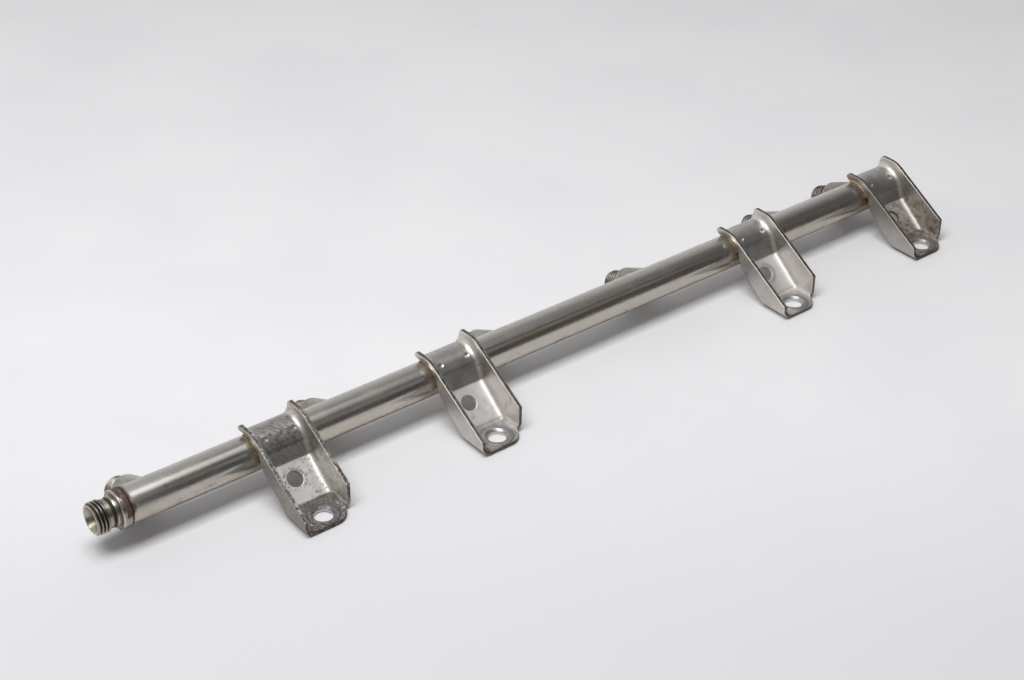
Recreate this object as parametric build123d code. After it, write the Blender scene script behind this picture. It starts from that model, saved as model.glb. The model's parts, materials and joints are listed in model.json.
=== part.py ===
from build123d import *
import os
from math import sin, cos, tan, atan2, acos, radians, degrees, sqrt, pi

# Gasoline fuel rail: a stainless tube with a threaded inlet fitting at one end,
# an end plug at the other, outlet fittings brazed along its back and four
# deep-drawn sheet brackets brazed over it. Millimetres, +Z up (the bolt axis),
# +X along the tube from the inlet to the plug, -Y towards the bracket feet.
# The origin is the middle of the footprint at the level of the feet.

# ---------------------------------------------------------------- dimensions
pitch = 88.0            # cylinder spacing, shared by brackets and outlets
tube_r = 8.0            # rail tube, outside
tube_bore_r = 6.0       # rail tube, inside
x_tube_start = -68.8    # end of the tube inside the inlet collar
x_tube_end = 365.9      # end of the tube past the last bracket
x_bracket_1 = 0.0       # middle of the first bracket
bracket_steps = (0, 1, 3, 4)
x_outlet_1 = -58.7      # axis of the first outlet
outlet_steps = (0, 1, 2, 3, 4)
x_outlet_6 = 342.8      # axis of the last outlet, half a pitch on

# inlet fitting (M14 x 1.5 male, 60 degree cone seat)
x_inlet_face = -82.8
inlet_thread_r = 6.95
inlet_chamfer = 0.9
inlet_thread_end = -77.2
inlet_neck_r = 6.15
inlet_collar_start = -72.8
inlet_collar_r = 8.35
inlet_collar_end = -68.8
inlet_spigot_r = 6.0
inlet_spigot_end = -61.0
inlet_bore_r = 1.6
inlet_seat_r = 5.3

# end plug
plug_r = 7.4
plug_thick = 1.1
plug_spigot_r = 6.0
plug_spigot_len = 6.0

# outlet fittings (M12 x 1.5 male, 60 degree cone seat)
outlet_drop = 24.4      # degrees below horizontal, towards +Y
outlet_thread_r = 5.97
outlet_chamfer = 0.8
outlet_boss_r = 7.4
outlet_boss_end = 18.2  # distance of the shoulder from the tube axis
outlet_boss_chamfer = 0.9
outlet_neck_r = 5.2
outlet_neck_len = 1.3
outlet_bore_r = 1.5
outlet_seat_r = 4.4
outlet_spigot_r = 3.0   # locating spigot through the tube wall
outlet_spigot_in = 6.3  # radius that the spigot's inner end stands at

# brackets
sheet_t = 2.0
bracket_half_w = 12.75
bend_in_r = 2.5         # inside bend, floor to flange
saddle_rear_deg = 60.0  # where the saddle ends behind the tube's top
saddle_front_deg = 156.6     # where it leaves the tube, going straight down
web_slope = 38.3        # degrees below horizontal
web_y, web_z = -12.2, -2.5   # a point on the web's upper face
crease_r = 2.0
toe_r = 3.0
foot_z = -16.4          # underside of the feet, from the tube axis
foot_front = -43.2
left_flange_front = -42.3
right_flange_front = -36.8
flange_y = -5.0         # where the flanges' top edges start to slope down
flange_slope = 0.587
flange_z_right, flange_z_left = 14.4, 12.1
flange_back = 4.5       # rear end of the flanges' top edges
pad_y = -35.8
pad_r = 6.9
pad_rise = 0.4
bolt_r = 4.0
bolt_edge = 0.95
toe_corner_r = 8.0
web_hole_r = 3.45
web_hole_x = -1.0
dimple_x, dimple_r, dimple_depth = 6.85, 1.25, 0.35
dimple_ang = 125.5      # degrees about the tube axis, from +Y

# ---------------------------------------------------------------- placement
a = radians(outlet_drop)
# the outlets' lower rims reach the same plane as the feet
outlet_len = (-foot_z - outlet_thread_r * cos(a)) / sin(a) + outlet_chamfer
y_back = outlet_len * cos(a) + (outlet_thread_r - outlet_chamfer) * sin(a)
x_plug_face = x_tube_end + plug_thick
ox = -(x_inlet_face + x_plug_face) / 2
oy = -(foot_front + y_back) / 2
oz = -foot_z
print("origin shift", round(ox, 3), round(oy, 3), round(oz, 3), "outlet length", round(outlet_len, 3))

os.makedirs("parts", exist_ok=True)


def place(s):
    return s.moved(Location((ox, oy, oz)))


def save(s, name):
    s = place(s)
    assert s.is_valid, name
    assert len(s.solids()) == 1, (name, len(s.solids()))
    print(name, "volume", round(s.volume, 1))
    export_step(s.solids()[0], "parts/" + name + ".step")


def x_cyl(r, x0, x1):
    """cylinder along X"""
    return Location(((x0 + x1) / 2, 0, 0), (0, 90, 0)) * Cylinder(r, abs(x1 - x0))


def turned(points):
    """solid turned about X from (x, radius) points"""
    pts = [(x, 0, r) for x, r in points]
    face = make_face(Polyline(*pts, pts[0]))
    return revolve(face, Axis.X, 360)


# ---------------------------------------------------------------- outlets
def outlet_frame(x):
    """local Z runs out along the outlet axis, local X along the rail"""
    return Plane(origin=(x, 0, 0), x_dir=(1, 0, 0), z_dir=(0, cos(a), -sin(a))).location


def outlet_solid(x):
    le, lb, c = outlet_len, outlet_boss_end, outlet_chamfer
    seat_depth = (outlet_seat_r - outlet_bore_r) / tan(radians(30))
    pts = [(outlet_bore_r, outlet_spigot_in),
           (outlet_spigot_r, outlet_spigot_in),
           (outlet_spigot_r, 7.0),
           (outlet_boss_r, 7.0),
           (outlet_boss_r, lb - outlet_boss_chamfer),
           (outlet_boss_r - outlet_boss_chamfer, lb),
           (outlet_neck_r, lb),
           (outlet_neck_r, lb + outlet_neck_len - 0.5),
           (outlet_thread_r, lb + outlet_neck_len + 0.27),
           (outlet_thread_r, le - c),
           (outlet_thread_r - c, le),
           (outlet_seat_r, le),
           (outlet_bore_r, le - seat_depth)]
    pts3 = [(r, 0, z) for r, z in pts]
    body = revolve(make_face(Polyline(*pts3, pts3[0])), Axis.Z, 360)
    body = outlet_frame(x) * body
    # the boss sits on the tube: everything inside the tube's outer wall goes,
    # apart from the spigot through the wall
    keep = outlet_frame(x) * (Location((0, 0, 7.0)) * Cylinder(outlet_spigot_r, 14.0))
    wall = x_cyl(tube_r, x - 20, x + 20)
    return body - (wall - keep)


outlet_x = [x_outlet_1 + pitch * k for k in outlet_steps] + [x_outlet_6]
for i, x in enumerate(outlet_x):
    save(outlet_solid(x), "outlet_fitting_%d" % (i + 1))

# ---------------------------------------------------------------- tube
tube = x_cyl(tube_r, x_tube_start, x_tube_end) - x_cyl(tube_bore_r, x_tube_start - 1, x_tube_end + 1)
for x in outlet_x:
    tube -= outlet_frame(x) * (Location((0, 0, 7.0)) * Cylinder(outlet_spigot_r, 8.0))
save(tube, "rail_tube")

# ---------------------------------------------------------------- inlet
seat_depth = (inlet_seat_r - inlet_bore_r) / tan(radians(30))
inlet = turned([
    (x_inlet_face + seat_depth, inlet_bore_r),
    (x_inlet_face, inlet_seat_r),
    (x_inlet_face, inlet_thread_r - inlet_chamfer),
    (x_inlet_face + inlet_chamfer, inlet_thread_r),
    (inlet_thread_end, inlet_thread_r),
    (inlet_thread_end + 0.8, inlet_neck_r),
    (inlet_collar_start, inlet_neck_r),
    (inlet_collar_start + 0.9, inlet_collar_r - 0.5),
    (inlet_collar_start + 1.7, inlet_collar_r),
    (inlet_collar_end, inlet_collar_r),
    (inlet_collar_end, inlet_spigot_r),
    (inlet_spigot_end, inlet_spigot_r),
    (inlet_spigot_end, 3.2),
    (inlet_spigot_end - 2.8, inlet_bore_r)])
save(inlet, "inlet_fitting")

# ---------------------------------------------------------------- end plug
xe = x_tube_end
plug = turned([
    (xe - plug_spigot_len, 0), (xe - plug_spigot_len, plug_spigot_r - 0.5),
    (xe - plug_spigot_len + 0.5, plug_spigot_r), (xe, plug_spigot_r),
    (xe, plug_r), (xe + plug_thick - 0.5, plug_r), (xe + plug_thick, plug_r - 0.5),
    (xe + plug_thick, 0)])
save(plug, "end_plug")

# ---------------------------------------------------------------- brackets
b = radians(web_slope)
d = (-cos(b), -sin(b))          # down the web, towards the foot
n = (-sin(b), cos(b))           # out of the web's upper face
R_up = tube_r + sheet_t
foot_top = foot_z + sheet_t


def on_web(s, off=0.0):
    return (web_y + d[0] * s + n[0] * off, web_z + d[1] * s + n[1] * off)


# centre of the crease bend: crease_r off the web and off the saddle's tangent
th1 = radians(saddle_front_deg)
nt = (cos(th1), sin(th1))       # out of the saddle where it leaves the tube
k1, k2 = R_up + crease_r, n[0] * web_y + n[1] * web_z + crease_r
det = nt[0] * n[1] - nt[1] * n[0]
C1 = ((k1 * n[1] - k2 * nt[1]) / det, (nt[0] * k2 - n[0] * k1) / det)
# centre of the toe bend: toe_r off the web and off the foot
q = on_web(0, toe_r)
s2 = (foot_top + toe_r - q[1]) / d[1]
C2 = on_web(s2, toe_r)


def polar(c, r, ang):
    return (c[0] + r * cos(ang), c[1] + r * sin(ang))


def yz(p):
    return (0, p[0], p[1])


def floor_path(off, rear, front):
    """edges of the floor's surface, off below its upper face, rear to front"""
    r0, r1, r2 = R_up - off, crease_r + off, toe_r + off
    e = []
    p0 = polar((0, 0), r0, rear)
    pm = polar((0, 0), r0, (rear + th1) / 2)
    p1 = polar((0, 0), r0, th1)
    e.append(ThreePointArc(yz(p0), yz(pm), yz(p1)))
    # straight down, then the crease arc, from facing the tube to facing the web
    a0 = th1 + pi
    a1 = atan2(-n[1], -n[0]) + 2 * pi
    p1b = polar(C1, r1, a0)
    e.append(Line(yz(p1), yz(p1b)))
    p2 = polar(C1, r1, a1)
    e.append(ThreePointArc(yz(p1b), yz(polar(C1, r1, (a0 + a1) / 2)), yz(p2)))
    # toe arc
    b0, b1 = atan2(-n[1], -n[0]), -pi / 2
    if b0 > b1 + pi:
        b0 -= 2 * pi
    p3 = polar(C2, r2, b0)
    p4 = polar(C2, r2, b1)
    e.append(Line(yz(p2), yz(p3)))
    e.append(ThreePointArc(yz(p3), yz(polar(C2, r2, (b0 + b1) / 2)), yz(p4)))
    p5 = (front, foot_top - off)
    e.append(Line(yz(p4), yz(p5)))
    return e, p0, p5


def along_floor(solid, xs, path, tol=0.05):
    """edges of a solid that run along one of the floor's surfaces"""
    out = []
    for e in solid.edges():
        ps = [e @ 0.1, e @ 0.5, e @ 0.9]
        if any(abs(abs(p.X) - xs) > 0.01 for p in ps):
            continue
        if any(all(w.edge().distance_to(Vertex(0, p.Y, p.Z)) < tol for p in ps) for w in path):
            out.append(e)
    return out


def trough(off, half, r):
    """everything above one of the floor's surfaces, its long edges rounded"""
    path, p_rear, p_front = floor_path(off, radians(8), foot_front - 6)
    side = Polyline(yz(p_front), yz((foot_front - 6, 30)), yz((18, 30)), yz((18, p_rear[1])), yz(p_rear))
    face = Face(Wire([*[w.edge() for w in path], *side.edges()]))
    solid = extrude(face, half, dir=(1, 0, 0), both=True)
    return solid.fillet(r, along_floor(solid, half, path))


inner = bracket_half_w - sheet_t
shell = trough(sheet_t, bracket_half_w, bend_in_r + sheet_t) - trough(0.0, inner, bend_in_r)

# side view: flange top edge, rear edge, end of the saddle, front of the foot
rear = radians(saddle_rear_deg)


def side_view(z_top, x_side):
    """what is kept of one half of the bracket, seen from the side"""
    z_front = z_top - flange_slope * (flange_y - left_flange_front)
    corners = [((foot_front, foot_top + 0.8), 0.5), ((left_flange_front, foot_top + 2.2), 0.5),
               ((left_flange_front, z_front), 0.9), ((flange_y, z_top), 12.0),
               ((flange_back, z_top), 1.6), ((5.4, 10.3), 0)]
    pts = [(foot_front, -30)] + [c for c, r in corners] + [polar((0, 0), R_up, rear), (0, 0), (0, -30)]
    face = Face(Wire(Polyline(*[yz(p) for p in pts], yz(pts[0])).edges()))
    for (y, z), r in corners:
        if r:
            v = min(face.vertices(), key=lambda v: (v.Y - y) ** 2 + (v.Z - z) ** 2)
            face = face.fillet_2d(r, [v])
    return extrude(face, 40, dir=(x_side, 0, 0))


shell = (shell & side_view(flange_z_left, -1)) + (shell & side_view(flange_z_right, 1))

# right flange ends short, and the toe's right corner is round
yc = right_flange_front
cx = inner - 0.7                # where the foot's edge leaves the bend
R = toe_corner_r
ccx, ccy = cx - R, foot_front + R               # centre of the round corner
a_start = -acos(1) if yc > ccy else atan2(yc - ccy, sqrt(R * R - (yc - ccy) ** 2))


def on_corner(t):
    return (ccx + R * cos(t), ccy + R * sin(t))


p_start, p_mid, p_end = on_corner(a_start), on_corner((a_start - pi / 2) / 2), on_corner(-pi / 2)
trim = make_face([
    *Polyline((20, yc), p_start).edges(),
    ThreePointArc(p_start, p_mid, p_end).edge(),
    *Polyline(p_end, (ccx, foot_front - 6), (20, foot_front - 6), (20, yc)).edges()])
shell -= extrude(trim, 40, dir=(0, 0, 1), both=True)

# the bolt pad, a coined disc standing proud of the foot
pad = Location((0, pad_y, foot_top + pad_rise / 2 - 0.3)) * Cylinder(pad_r, pad_rise + 0.6)
pad = chamfer(pad.faces().sort_by(Axis.Z)[-1].edges(), 0.25)
pad &= Location((0, foot_front + 15, 0)) * Box(60, 30, 60)
shell = shell + pad
shell -= Location((0, pad_y, foot_z)) * Cylinder(bolt_r, 12)
shell -= Location((0, pad_y, foot_top + pad_rise - bolt_edge / 2)) * Cone(bolt_r, bolt_r + 1.1, bolt_edge)

# round hole in the web, square to it
hole_s = 7.1
hp = on_web(hole_s)
hole_axis = Plane(origin=(0.0, hp[0], hp[1]), x_dir=(1, 0, 0), z_dir=(0, n[0], n[1]))
shell -= hole_axis.location * (Location((web_hole_x, 0, 0)) * Cylinder(web_hole_r, 9))

# two punched dimples on the saddle
ad = radians(dimple_ang)
for sx in (-1, 1):
    rs = (dimple_r ** 2 + dimple_depth ** 2) / (2 * dimple_depth)
    cpt = polar((0, 0), R_up - dimple_depth + rs, ad)
    shell -= Location((sx * dimple_x, cpt[0], cpt[1])) * Sphere(rs)

shell = shell.solids()[0]
for i, k in enumerate(bracket_steps):
    save(shell.moved(Location((x_bracket_1 + pitch * k, 0, 0))), "bracket_%d" % (i + 1))
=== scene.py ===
# Gasoline fuel rail: stainless tube, threaded fittings and four pressed
# brackets, brazed together. Lengths below are millimetres in the tube's own
# coordinates (tube axis at y = z = 0); place() brings them to the row frame.
import bpy
import json
import math
import numpy as np
from mathutils import Matrix, Vector

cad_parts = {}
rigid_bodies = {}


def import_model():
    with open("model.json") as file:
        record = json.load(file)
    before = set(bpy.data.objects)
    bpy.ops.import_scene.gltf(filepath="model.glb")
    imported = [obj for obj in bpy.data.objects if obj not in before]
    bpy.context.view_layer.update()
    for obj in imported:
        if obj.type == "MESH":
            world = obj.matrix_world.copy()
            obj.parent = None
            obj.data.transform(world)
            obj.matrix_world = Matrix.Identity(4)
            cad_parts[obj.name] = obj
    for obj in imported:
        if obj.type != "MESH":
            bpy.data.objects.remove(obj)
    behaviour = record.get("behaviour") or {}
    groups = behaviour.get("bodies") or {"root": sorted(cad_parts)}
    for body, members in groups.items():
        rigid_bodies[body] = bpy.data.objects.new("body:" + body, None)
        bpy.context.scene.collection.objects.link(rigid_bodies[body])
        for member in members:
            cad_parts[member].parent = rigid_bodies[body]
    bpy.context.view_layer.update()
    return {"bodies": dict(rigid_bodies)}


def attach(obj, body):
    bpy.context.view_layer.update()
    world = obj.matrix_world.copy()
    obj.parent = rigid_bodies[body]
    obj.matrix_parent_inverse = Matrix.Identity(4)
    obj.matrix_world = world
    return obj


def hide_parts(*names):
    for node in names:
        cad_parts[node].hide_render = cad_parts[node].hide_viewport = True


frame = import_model()

MM = 0.001
OX, OY, OZ = -142.1, 8.0837, 16.4          # tube coordinates to row frame
PITCH = 88.0
TUBE_R, BORE_R = 8.0, 6.0
A = math.radians(24.4)                     # outlets point this far below +Y
OUT_X = [-58.7 + PITCH * k for k in range(5)] + [342.8]
BR_X = [0.0, 88.0, 264.0, 352.0]


def place(p):
    return (np.asarray(p, float) + (OX, OY, OZ)) * MM


def faces_out(verts, faces):
    """whether a closed mesh faces outwards, by its signed volume"""
    v = np.asarray(verts, float)
    v = v - v.mean(axis=0)
    sizes, vol = {}, 0.0
    for f in faces:
        sizes.setdefault(len(f), []).append(f)
    for k, group in sizes.items():
        q = np.array(group)
        for j in range(1, k - 1):
            vol += float(np.einsum("ij,ij->", v[q[:, 0]], np.cross(v[q[:, j]], v[q[:, j + 1]])))
    return vol > 0


def make_object(name, verts, faces, mat=None, smooth=True, normals=None):
    """verts in tube coordinates, millimetres; the faces are turned outwards if they aren't"""
    if not faces_out(verts, faces):
        faces = [f[::-1] for f in faces]
        normals = None if normals is None else -np.asarray(normals)
    me = bpy.data.meshes.new(name)
    me.from_pydata(place(verts).tolist(), [], [tuple(int(i) for i in f) for f in faces])
    me.update()
    if smooth:
        me.polygons.foreach_set("use_smooth", [True] * len(me.polygons))
    if normals is not None:
        me.normals_split_custom_set_from_vertices([tuple(n) for n in normals])
    ob = bpy.data.objects.new(name, me)
    bpy.context.scene.collection.objects.link(ob)
    if mat is not None:
        me.materials.append(mat)
    return ob


def rows_mesh(rows, close_rows=True):
    """faces of a sheet of rows x columns, columns wrapped round"""
    nr, nc = rows.shape[:2]
    faces = []
    last = nr if close_rows else nr - 1
    for i in range(last):
        a, b = i * nc, ((i + 1) % nr) * nc
        for j in range(nc):
            k = (j + 1) % nc
            faces.append((a + j, a + k, b + k, b + j))
    return rows.reshape(-1, 3), faces


def hash_noise(p, seed=0.0):
    """smooth value noise, -1..1, of points (n, 3)"""
    p = np.asarray(p, float) + seed * 17.31
    i = np.floor(p).astype(np.int64)
    f = p - i
    f = f * f * (3 - 2 * f)

    def h(ix, iy, iz):
        n = (ix * 374761393 + iy * 668265263 + iz * 2147483647 + 1013904223) & 0xFFFFFFFF
        n = ((n ^ (n >> 13)) * 1274126177) & 0xFFFFFFFF
        n = (n ^ (n >> 16)) & 0xFFFF
        return n / 32767.5 - 1.0

    out = 0
    for dx in (0, 1):
        for dy in (0, 1):
            for dz in (0, 1):
                w = (f[:, 0] if dx else 1 - f[:, 0]) * (f[:, 1] if dy else 1 - f[:, 1]) * (f[:, 2] if dz else 1 - f[:, 2])
                out = out + w * h(i[:, 0] + dx, i[:, 1] + dy, i[:, 2] + dz)
    return out


def fbm(p, octaves=3, seed=0.0):
    out, amp, tot = 0, 1.0, 0.0
    p = np.asarray(p, float)
    for o in range(octaves):
        out = out + amp * hash_noise(p * 2 ** o, seed + o * 3.7)
        tot += amp
        amp *= 0.5
    return out / tot


# ------------------------------------------------------------------ brackets
T = 2.0
HALF_W = 12.75
INNER = HALF_W - T
BEND = 2.5
WEB_SLOPE = math.radians(38.3)
WEB = np.array([-12.2, -2.5])
CREASE_R, TOE_R = 2.0, 3.0
FOOT_Z = -16.4
FOOT_TOP = FOOT_Z + T
FOOT_FRONT = -43.2
LEFT_FRONT = -42.3
RIGHT_FRONT = -36.8
FL_Y, FL_SLOPE = -5.0, 0.587
FL_Z = {-1: 12.1, 1: 14.4}
FL_BACK = 4.5
REAR, TH1 = math.radians(60.0), math.radians(156.6)
R_UP = TUBE_R + T
PAD_Y, PAD_R, PAD_RISE = -35.8, 6.9, 0.4
BOLT_R, BOLT_EDGE = 4.0, 0.95
TOE_CORNER = 8.0
WEB_HOLE_R, WEB_HOLE_X, WEB_HOLE_S = 3.45, -1.0, 7.1
DIMPLE_X, DIMPLE_ANG, DIMPLE_R, DIMPLE_D = 6.85, math.radians(125.5), 1.25, 0.35

D_WEB = np.array([-math.cos(WEB_SLOPE), -math.sin(WEB_SLOPE)])
N_WEB = np.array([-math.sin(WEB_SLOPE), math.cos(WEB_SLOPE)])
N_TAN = np.array([math.cos(TH1), math.sin(TH1)])
_k1, _k2 = R_UP + CREASE_R, float(N_WEB @ WEB) + CREASE_R
_det = N_TAN[0] * N_WEB[1] - N_TAN[1] * N_WEB[0]
C1 = np.array([(_k1 * N_WEB[1] - _k2 * N_TAN[1]) / _det, (N_TAN[0] * _k2 - N_WEB[0] * _k1) / _det])
_q = WEB + N_WEB * TOE_R
C2 = _q + D_WEB * ((FOOT_TOP + TOE_R - _q[1]) / D_WEB[1])


def on_web(s, off=0.0):
    return WEB + D_WEB * s + N_WEB * off


def d_floor(y, z):
    """signed distance above the floor's upper surface, in side view"""
    g_foot = z - FOOT_TOP
    g_web = N_WEB[0] * (y - WEB[0]) + N_WEB[1] * (z - WEB[1])
    ang = np.arctan2(z, y)
    ang = np.where(ang < -math.pi / 2, ang + 2 * math.pi, ang)
    front = ang > TH1
    g_sad = np.where(front, N_TAN[0] * y + N_TAN[1] * z - R_UP, np.hypot(y, z) - R_UP)
    d = np.where(front, np.minimum(np.minimum(g_foot, g_web), g_sad), g_sad)

    def corner(d, c, r, n1, n2):
        # rounded where the direction from the centre lies between -n1 and -n2
        vy, vz = y - c[0], z - c[1]
        dist = np.hypot(vy, vz)
        m = -(n1 + n2)
        m = m / np.hypot(*m)
        cosw = (vy * m[0] + vz * m[1]) / np.maximum(dist, 1e-9)
        lim = -(n1 @ m)
        return np.where((cosw > lim) & (dist > 1e-6), r - dist, d)

    d = corner(d, C1, CREASE_R, N_TAN, N_WEB)
    d = corner(d, C2, TOE_R, N_WEB, np.array([0.0, 1.0]))
    return d


def round_and(a, b, r):
    """intersection of two solids, the edge between them rounded"""
    u, v = a + r, b + r
    return np.hypot(np.maximum(u, 0), np.maximum(v, 0)) - r + np.minimum(np.maximum(u, v), 0)


def round_or(a, b, r):
    """union of two solids, the corner between them filled"""
    u, v = r - a, r - b
    return r - np.hypot(np.maximum(u, 0), np.maximum(v, 0)) + np.maximum(np.minimum(a, b) - r, 0) \
        if r > 0 else np.minimum(a, b)


def fillet_poly(pts, n=7):
    """corner list ((x, y), r) to a closed outline"""
    out = []
    m = len(pts)
    for i in range(m):
        p = np.array(pts[i][0], float)
        r = pts[i][1]
        if r <= 0:
            out.append(p)
            continue
        a = np.array(pts[i - 1][0], float) - p
        b = np.array(pts[(i + 1) % m][0], float) - p
        a /= np.hypot(*a)
        b /= np.hypot(*b)
        half = math.acos(max(-1, min(1, float(a @ b)))) / 2
        tl = r / math.tan(half)
        mid = (a + b) / np.hypot(*(a + b))
        c = p + mid * r / math.sin(half)
        t0, t1 = p + a * tl - c, p + b * tl - c
        a0, a1 = math.atan2(t0[1], t0[0]), math.atan2(t1[1], t1[0])
        while a1 - a0 > math.pi:
            a1 -= 2 * math.pi
        while a1 - a0 < -math.pi:
            a1 += 2 * math.pi
        for k in range(n + 1):
            t = a0 + (a1 - a0) * k / n
            out.append(c + r * np.array([math.cos(t), math.sin(t)]))
    return np.array(out)


def poly_sdf(px, py, poly):
    d = np.full(px.shape, 1e9)
    inside = np.zeros(px.shape, bool)
    n = len(poly)
    for i in range(n):
        ax, ay = poly[i]
        bx, by = poly[(i + 1) % n]
        ex, ey = bx - ax, by - ay
        wx, wy = px - ax, py - ay
        t = np.clip((wx * ex + wy * ey) / max(ex * ex + ey * ey, 1e-12), 0, 1)
        d = np.minimum(d, (wx - ex * t) ** 2 + (wy - ey * t) ** 2)
        cross = ((ay <= py) & (by > py)) | ((by <= py) & (ay > py))
        xi = ax + (py - ay) * (ex / (ey if abs(ey) > 1e-12 else 1e-12))
        inside ^= cross & (px < xi)
    return np.where(inside, -1, 1) * np.sqrt(d)


def side_poly(side):
    z_top = FL_Z[side]
    zf = z_top - FL_SLOPE * (FL_Y - LEFT_FRONT)
    pts = [((FOOT_FRONT, -30), 0), ((FOOT_FRONT, FOOT_TOP + 0.8), 0.5), ((LEFT_FRONT, FOOT_TOP + 2.2), 0.5),
           ((LEFT_FRONT, zf), 0.9), ((FL_Y, z_top), 12.0), ((FL_BACK, z_top), 1.6), ((5.4, 10.3), 0.2),
           ((R_UP * math.cos(REAR), R_UP * math.sin(REAR)), 0), ((0, 0), 0), ((0, -30), 0)]
    return fillet_poly(pts)


SIDE = {s: side_poly(s) for s in (-1, 1)}
_cx = INNER - 0.7
_cc = (_cx - TOE_CORNER, FOOT_FRONT + TOE_CORNER)


def d_trim(x, y):
    """plan outline of the right-hand front corner, negative where metal is kept"""
    rr = np.hypot(x - _cc[0], y - _cc[1]) - TOE_CORNER
    in_sector = (x > _cc[0]) & (y < _cc[1])
    g = np.where(in_sector, rr, np.maximum(x - _cx, FOOT_FRONT - y))
    # only the part in front of the right flange is cut
    return np.minimum(np.where(x > _cc[0] - 2, g, -5.0), RIGHT_FRONT - y)


HP = on_web(WEB_HOLE_S)
_rs = (DIMPLE_R ** 2 + DIMPLE_D ** 2) / (2 * DIMPLE_D)
DIMPLE_C = np.array([math.cos(DIMPLE_ANG), math.sin(DIMPLE_ANG)]) * (R_UP - DIMPLE_D + _rs)
EDGE = 0.28


def bracket_sdf(x, y, z):
    d = d_floor(y, z)
    c_a, c_b = -d, np.abs(x) - INNER
    c = np.hypot(np.maximum(c_a + BEND, 0), np.maximum(c_b + BEND, 0)) - BEND + np.minimum(np.maximum(c_a + BEND, c_b + BEND), 0)
    sheet = np.abs(c - T / 2) - T / 2
    side = np.where(x < 0, poly_sdf(y, z, SIDE[-1]), poly_sdf(y, z, SIDE[1]))
    f = round_and(sheet, side, EDGE)
    f = round_and(f, d_trim(x, y), EDGE)
    rr = np.hypot(x, y - PAD_Y)
    pad = round_and(rr - PAD_R, np.abs(z - (FOOT_TOP + PAD_RISE - 0.7)) - 0.7, 0.2)
    pad = np.maximum(pad, FOOT_FRONT - y)
    f = round_or(f, pad, 0.25)
    cone = (rr - (BOLT_R + 1.1 * np.clip((z - (FOOT_TOP + PAD_RISE - BOLT_EDGE)) / BOLT_EDGE, 0, 1.5))) * 0.8
    bore = np.minimum(rr - BOLT_R, cone)
    f = round_and(f, -bore, 0.16)
    # web hole, square to the web
    ty, tz = y - HP[0], z - HP[1]
    along = ty * D_WEB[0] + tz * D_WEB[1]
    up = ty * N_WEB[0] + tz * N_WEB[1]
    hole = np.maximum(np.hypot(x - WEB_HOLE_X, along) - WEB_HOLE_R, np.abs(up) - 5.0)
    f = round_and(f, -hole, EDGE)
    for sx in (-1, 1):
        ball = np.sqrt((x - sx * DIMPLE_X) ** 2 + (y - DIMPLE_C[0]) ** 2 + (z - DIMPLE_C[1]) ** 2) - _rs
        f = round_and(f, -ball, 0.1)
    return f


def surface_nets(fn, lo, hi, h):
    """closed quad mesh of fn = 0"""
    ax = [np.arange(lo[i], hi[i] + h, h) for i in range(3)]
    nx, ny, nz = (len(a) for a in ax)
    F = np.empty((nx, ny, nz), np.float64)
    Y, Z = np.meshgrid(ax[1], ax[2], indexing="ij")
    for i0 in range(0, nx, 16):
        xs = ax[0][i0:i0 + 16]
        n = len(xs)
        X3 = np.repeat(xs, Y.size)
        F[i0:i0 + n] = fn(X3, np.tile(Y.ravel(), n), np.tile(Z.ravel(), n)).reshape(n, ny, nz)
    S = F < 0
    cs = S[:-1, :-1, :-1].astype(np.int8)
    tot = np.zeros_like(cs)
    for dx in (0, 1):
        for dy in (0, 1):
            for dz in (0, 1):
                tot += S[dx:nx - 1 + dx, dy:ny - 1 + dy, dz:nz - 1 + dz]
    active = (tot > 0) & (tot < 8)
    idx = -np.ones(active.shape, np.int64)
    cells = np.argwhere(active)
    idx[active] = np.arange(len(cells))
    acc = np.zeros((len(cells), 3))
    cnt = np.zeros(len(cells))
    corners = [(0, 0, 0), (1, 0, 0), (0, 1, 0), (1, 1, 0), (0, 0, 1), (1, 0, 1), (0, 1, 1), (1, 1, 1)]
    edges = [(0, 1), (2, 3), (4, 5), (6, 7), (0, 2), (1, 3), (4, 6), (5, 7), (0, 4), (1, 5), (2, 6), (3, 7)]
    ci, cj, ck = cells.T
    for a, b in edges:
        ca, cb = corners[a], corners[b]
        fa = F[ci + ca[0], cj + ca[1], ck + ca[2]]
        fb = F[ci + cb[0], cj + cb[1], ck + cb[2]]
        m = (fa < 0) != (fb < 0)
        t = np.where(m, fa / np.where(m, fa - fb, 1), 0)
        for d in range(3):
            acc[:, d] += np.where(m, ca[d] + t * (cb[d] - ca[d]), 0)
        cnt += m
    v = (cells + acc / cnt[:, None]) * h + np.array(lo)
    quads = []
    for d in range(3):
        o1, o2 = [(1, 2), (2, 0), (0, 1)][d]
        sl0 = [slice(None)] * 3
        sl1 = [slice(None)] * 3
        sl0[d] = slice(0, -1)
        sl1[d] = slice(1, None)
        ch = S[tuple(sl0)] != S[tuple(sl1)]
        e = np.argwhere(ch)
        e = e[(e[:, o1] > 0) & (e[:, o2] > 0)]
        e = e[(e[:, o1] < F.shape[o1] - 1) & (e[:, o2] < F.shape[o2] - 1)]
        ins = S[tuple(e.T)]
        q = []
        for a, b in ((1, 1), (0, 1), (0, 0), (1, 0)):
            p = e.copy()
            p[:, o1] -= a
            p[:, o2] -= b
            q.append(idx[tuple(p.T)])
        q = np.stack(q, 1)
        q[~ins] = q[~ins][:, ::-1]
        quads.append(q)
    return v, np.concatenate(quads)


def gradient(fn, p, e=0.03):
    g = np.empty_like(p)
    for d in range(3):
        a, b = p.copy(), p.copy()
        a[:, d] += e
        b[:, d] -= e
        g[:, d] = (fn(*a.T) - fn(*b.T)) / (2 * e)
    return g


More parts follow.
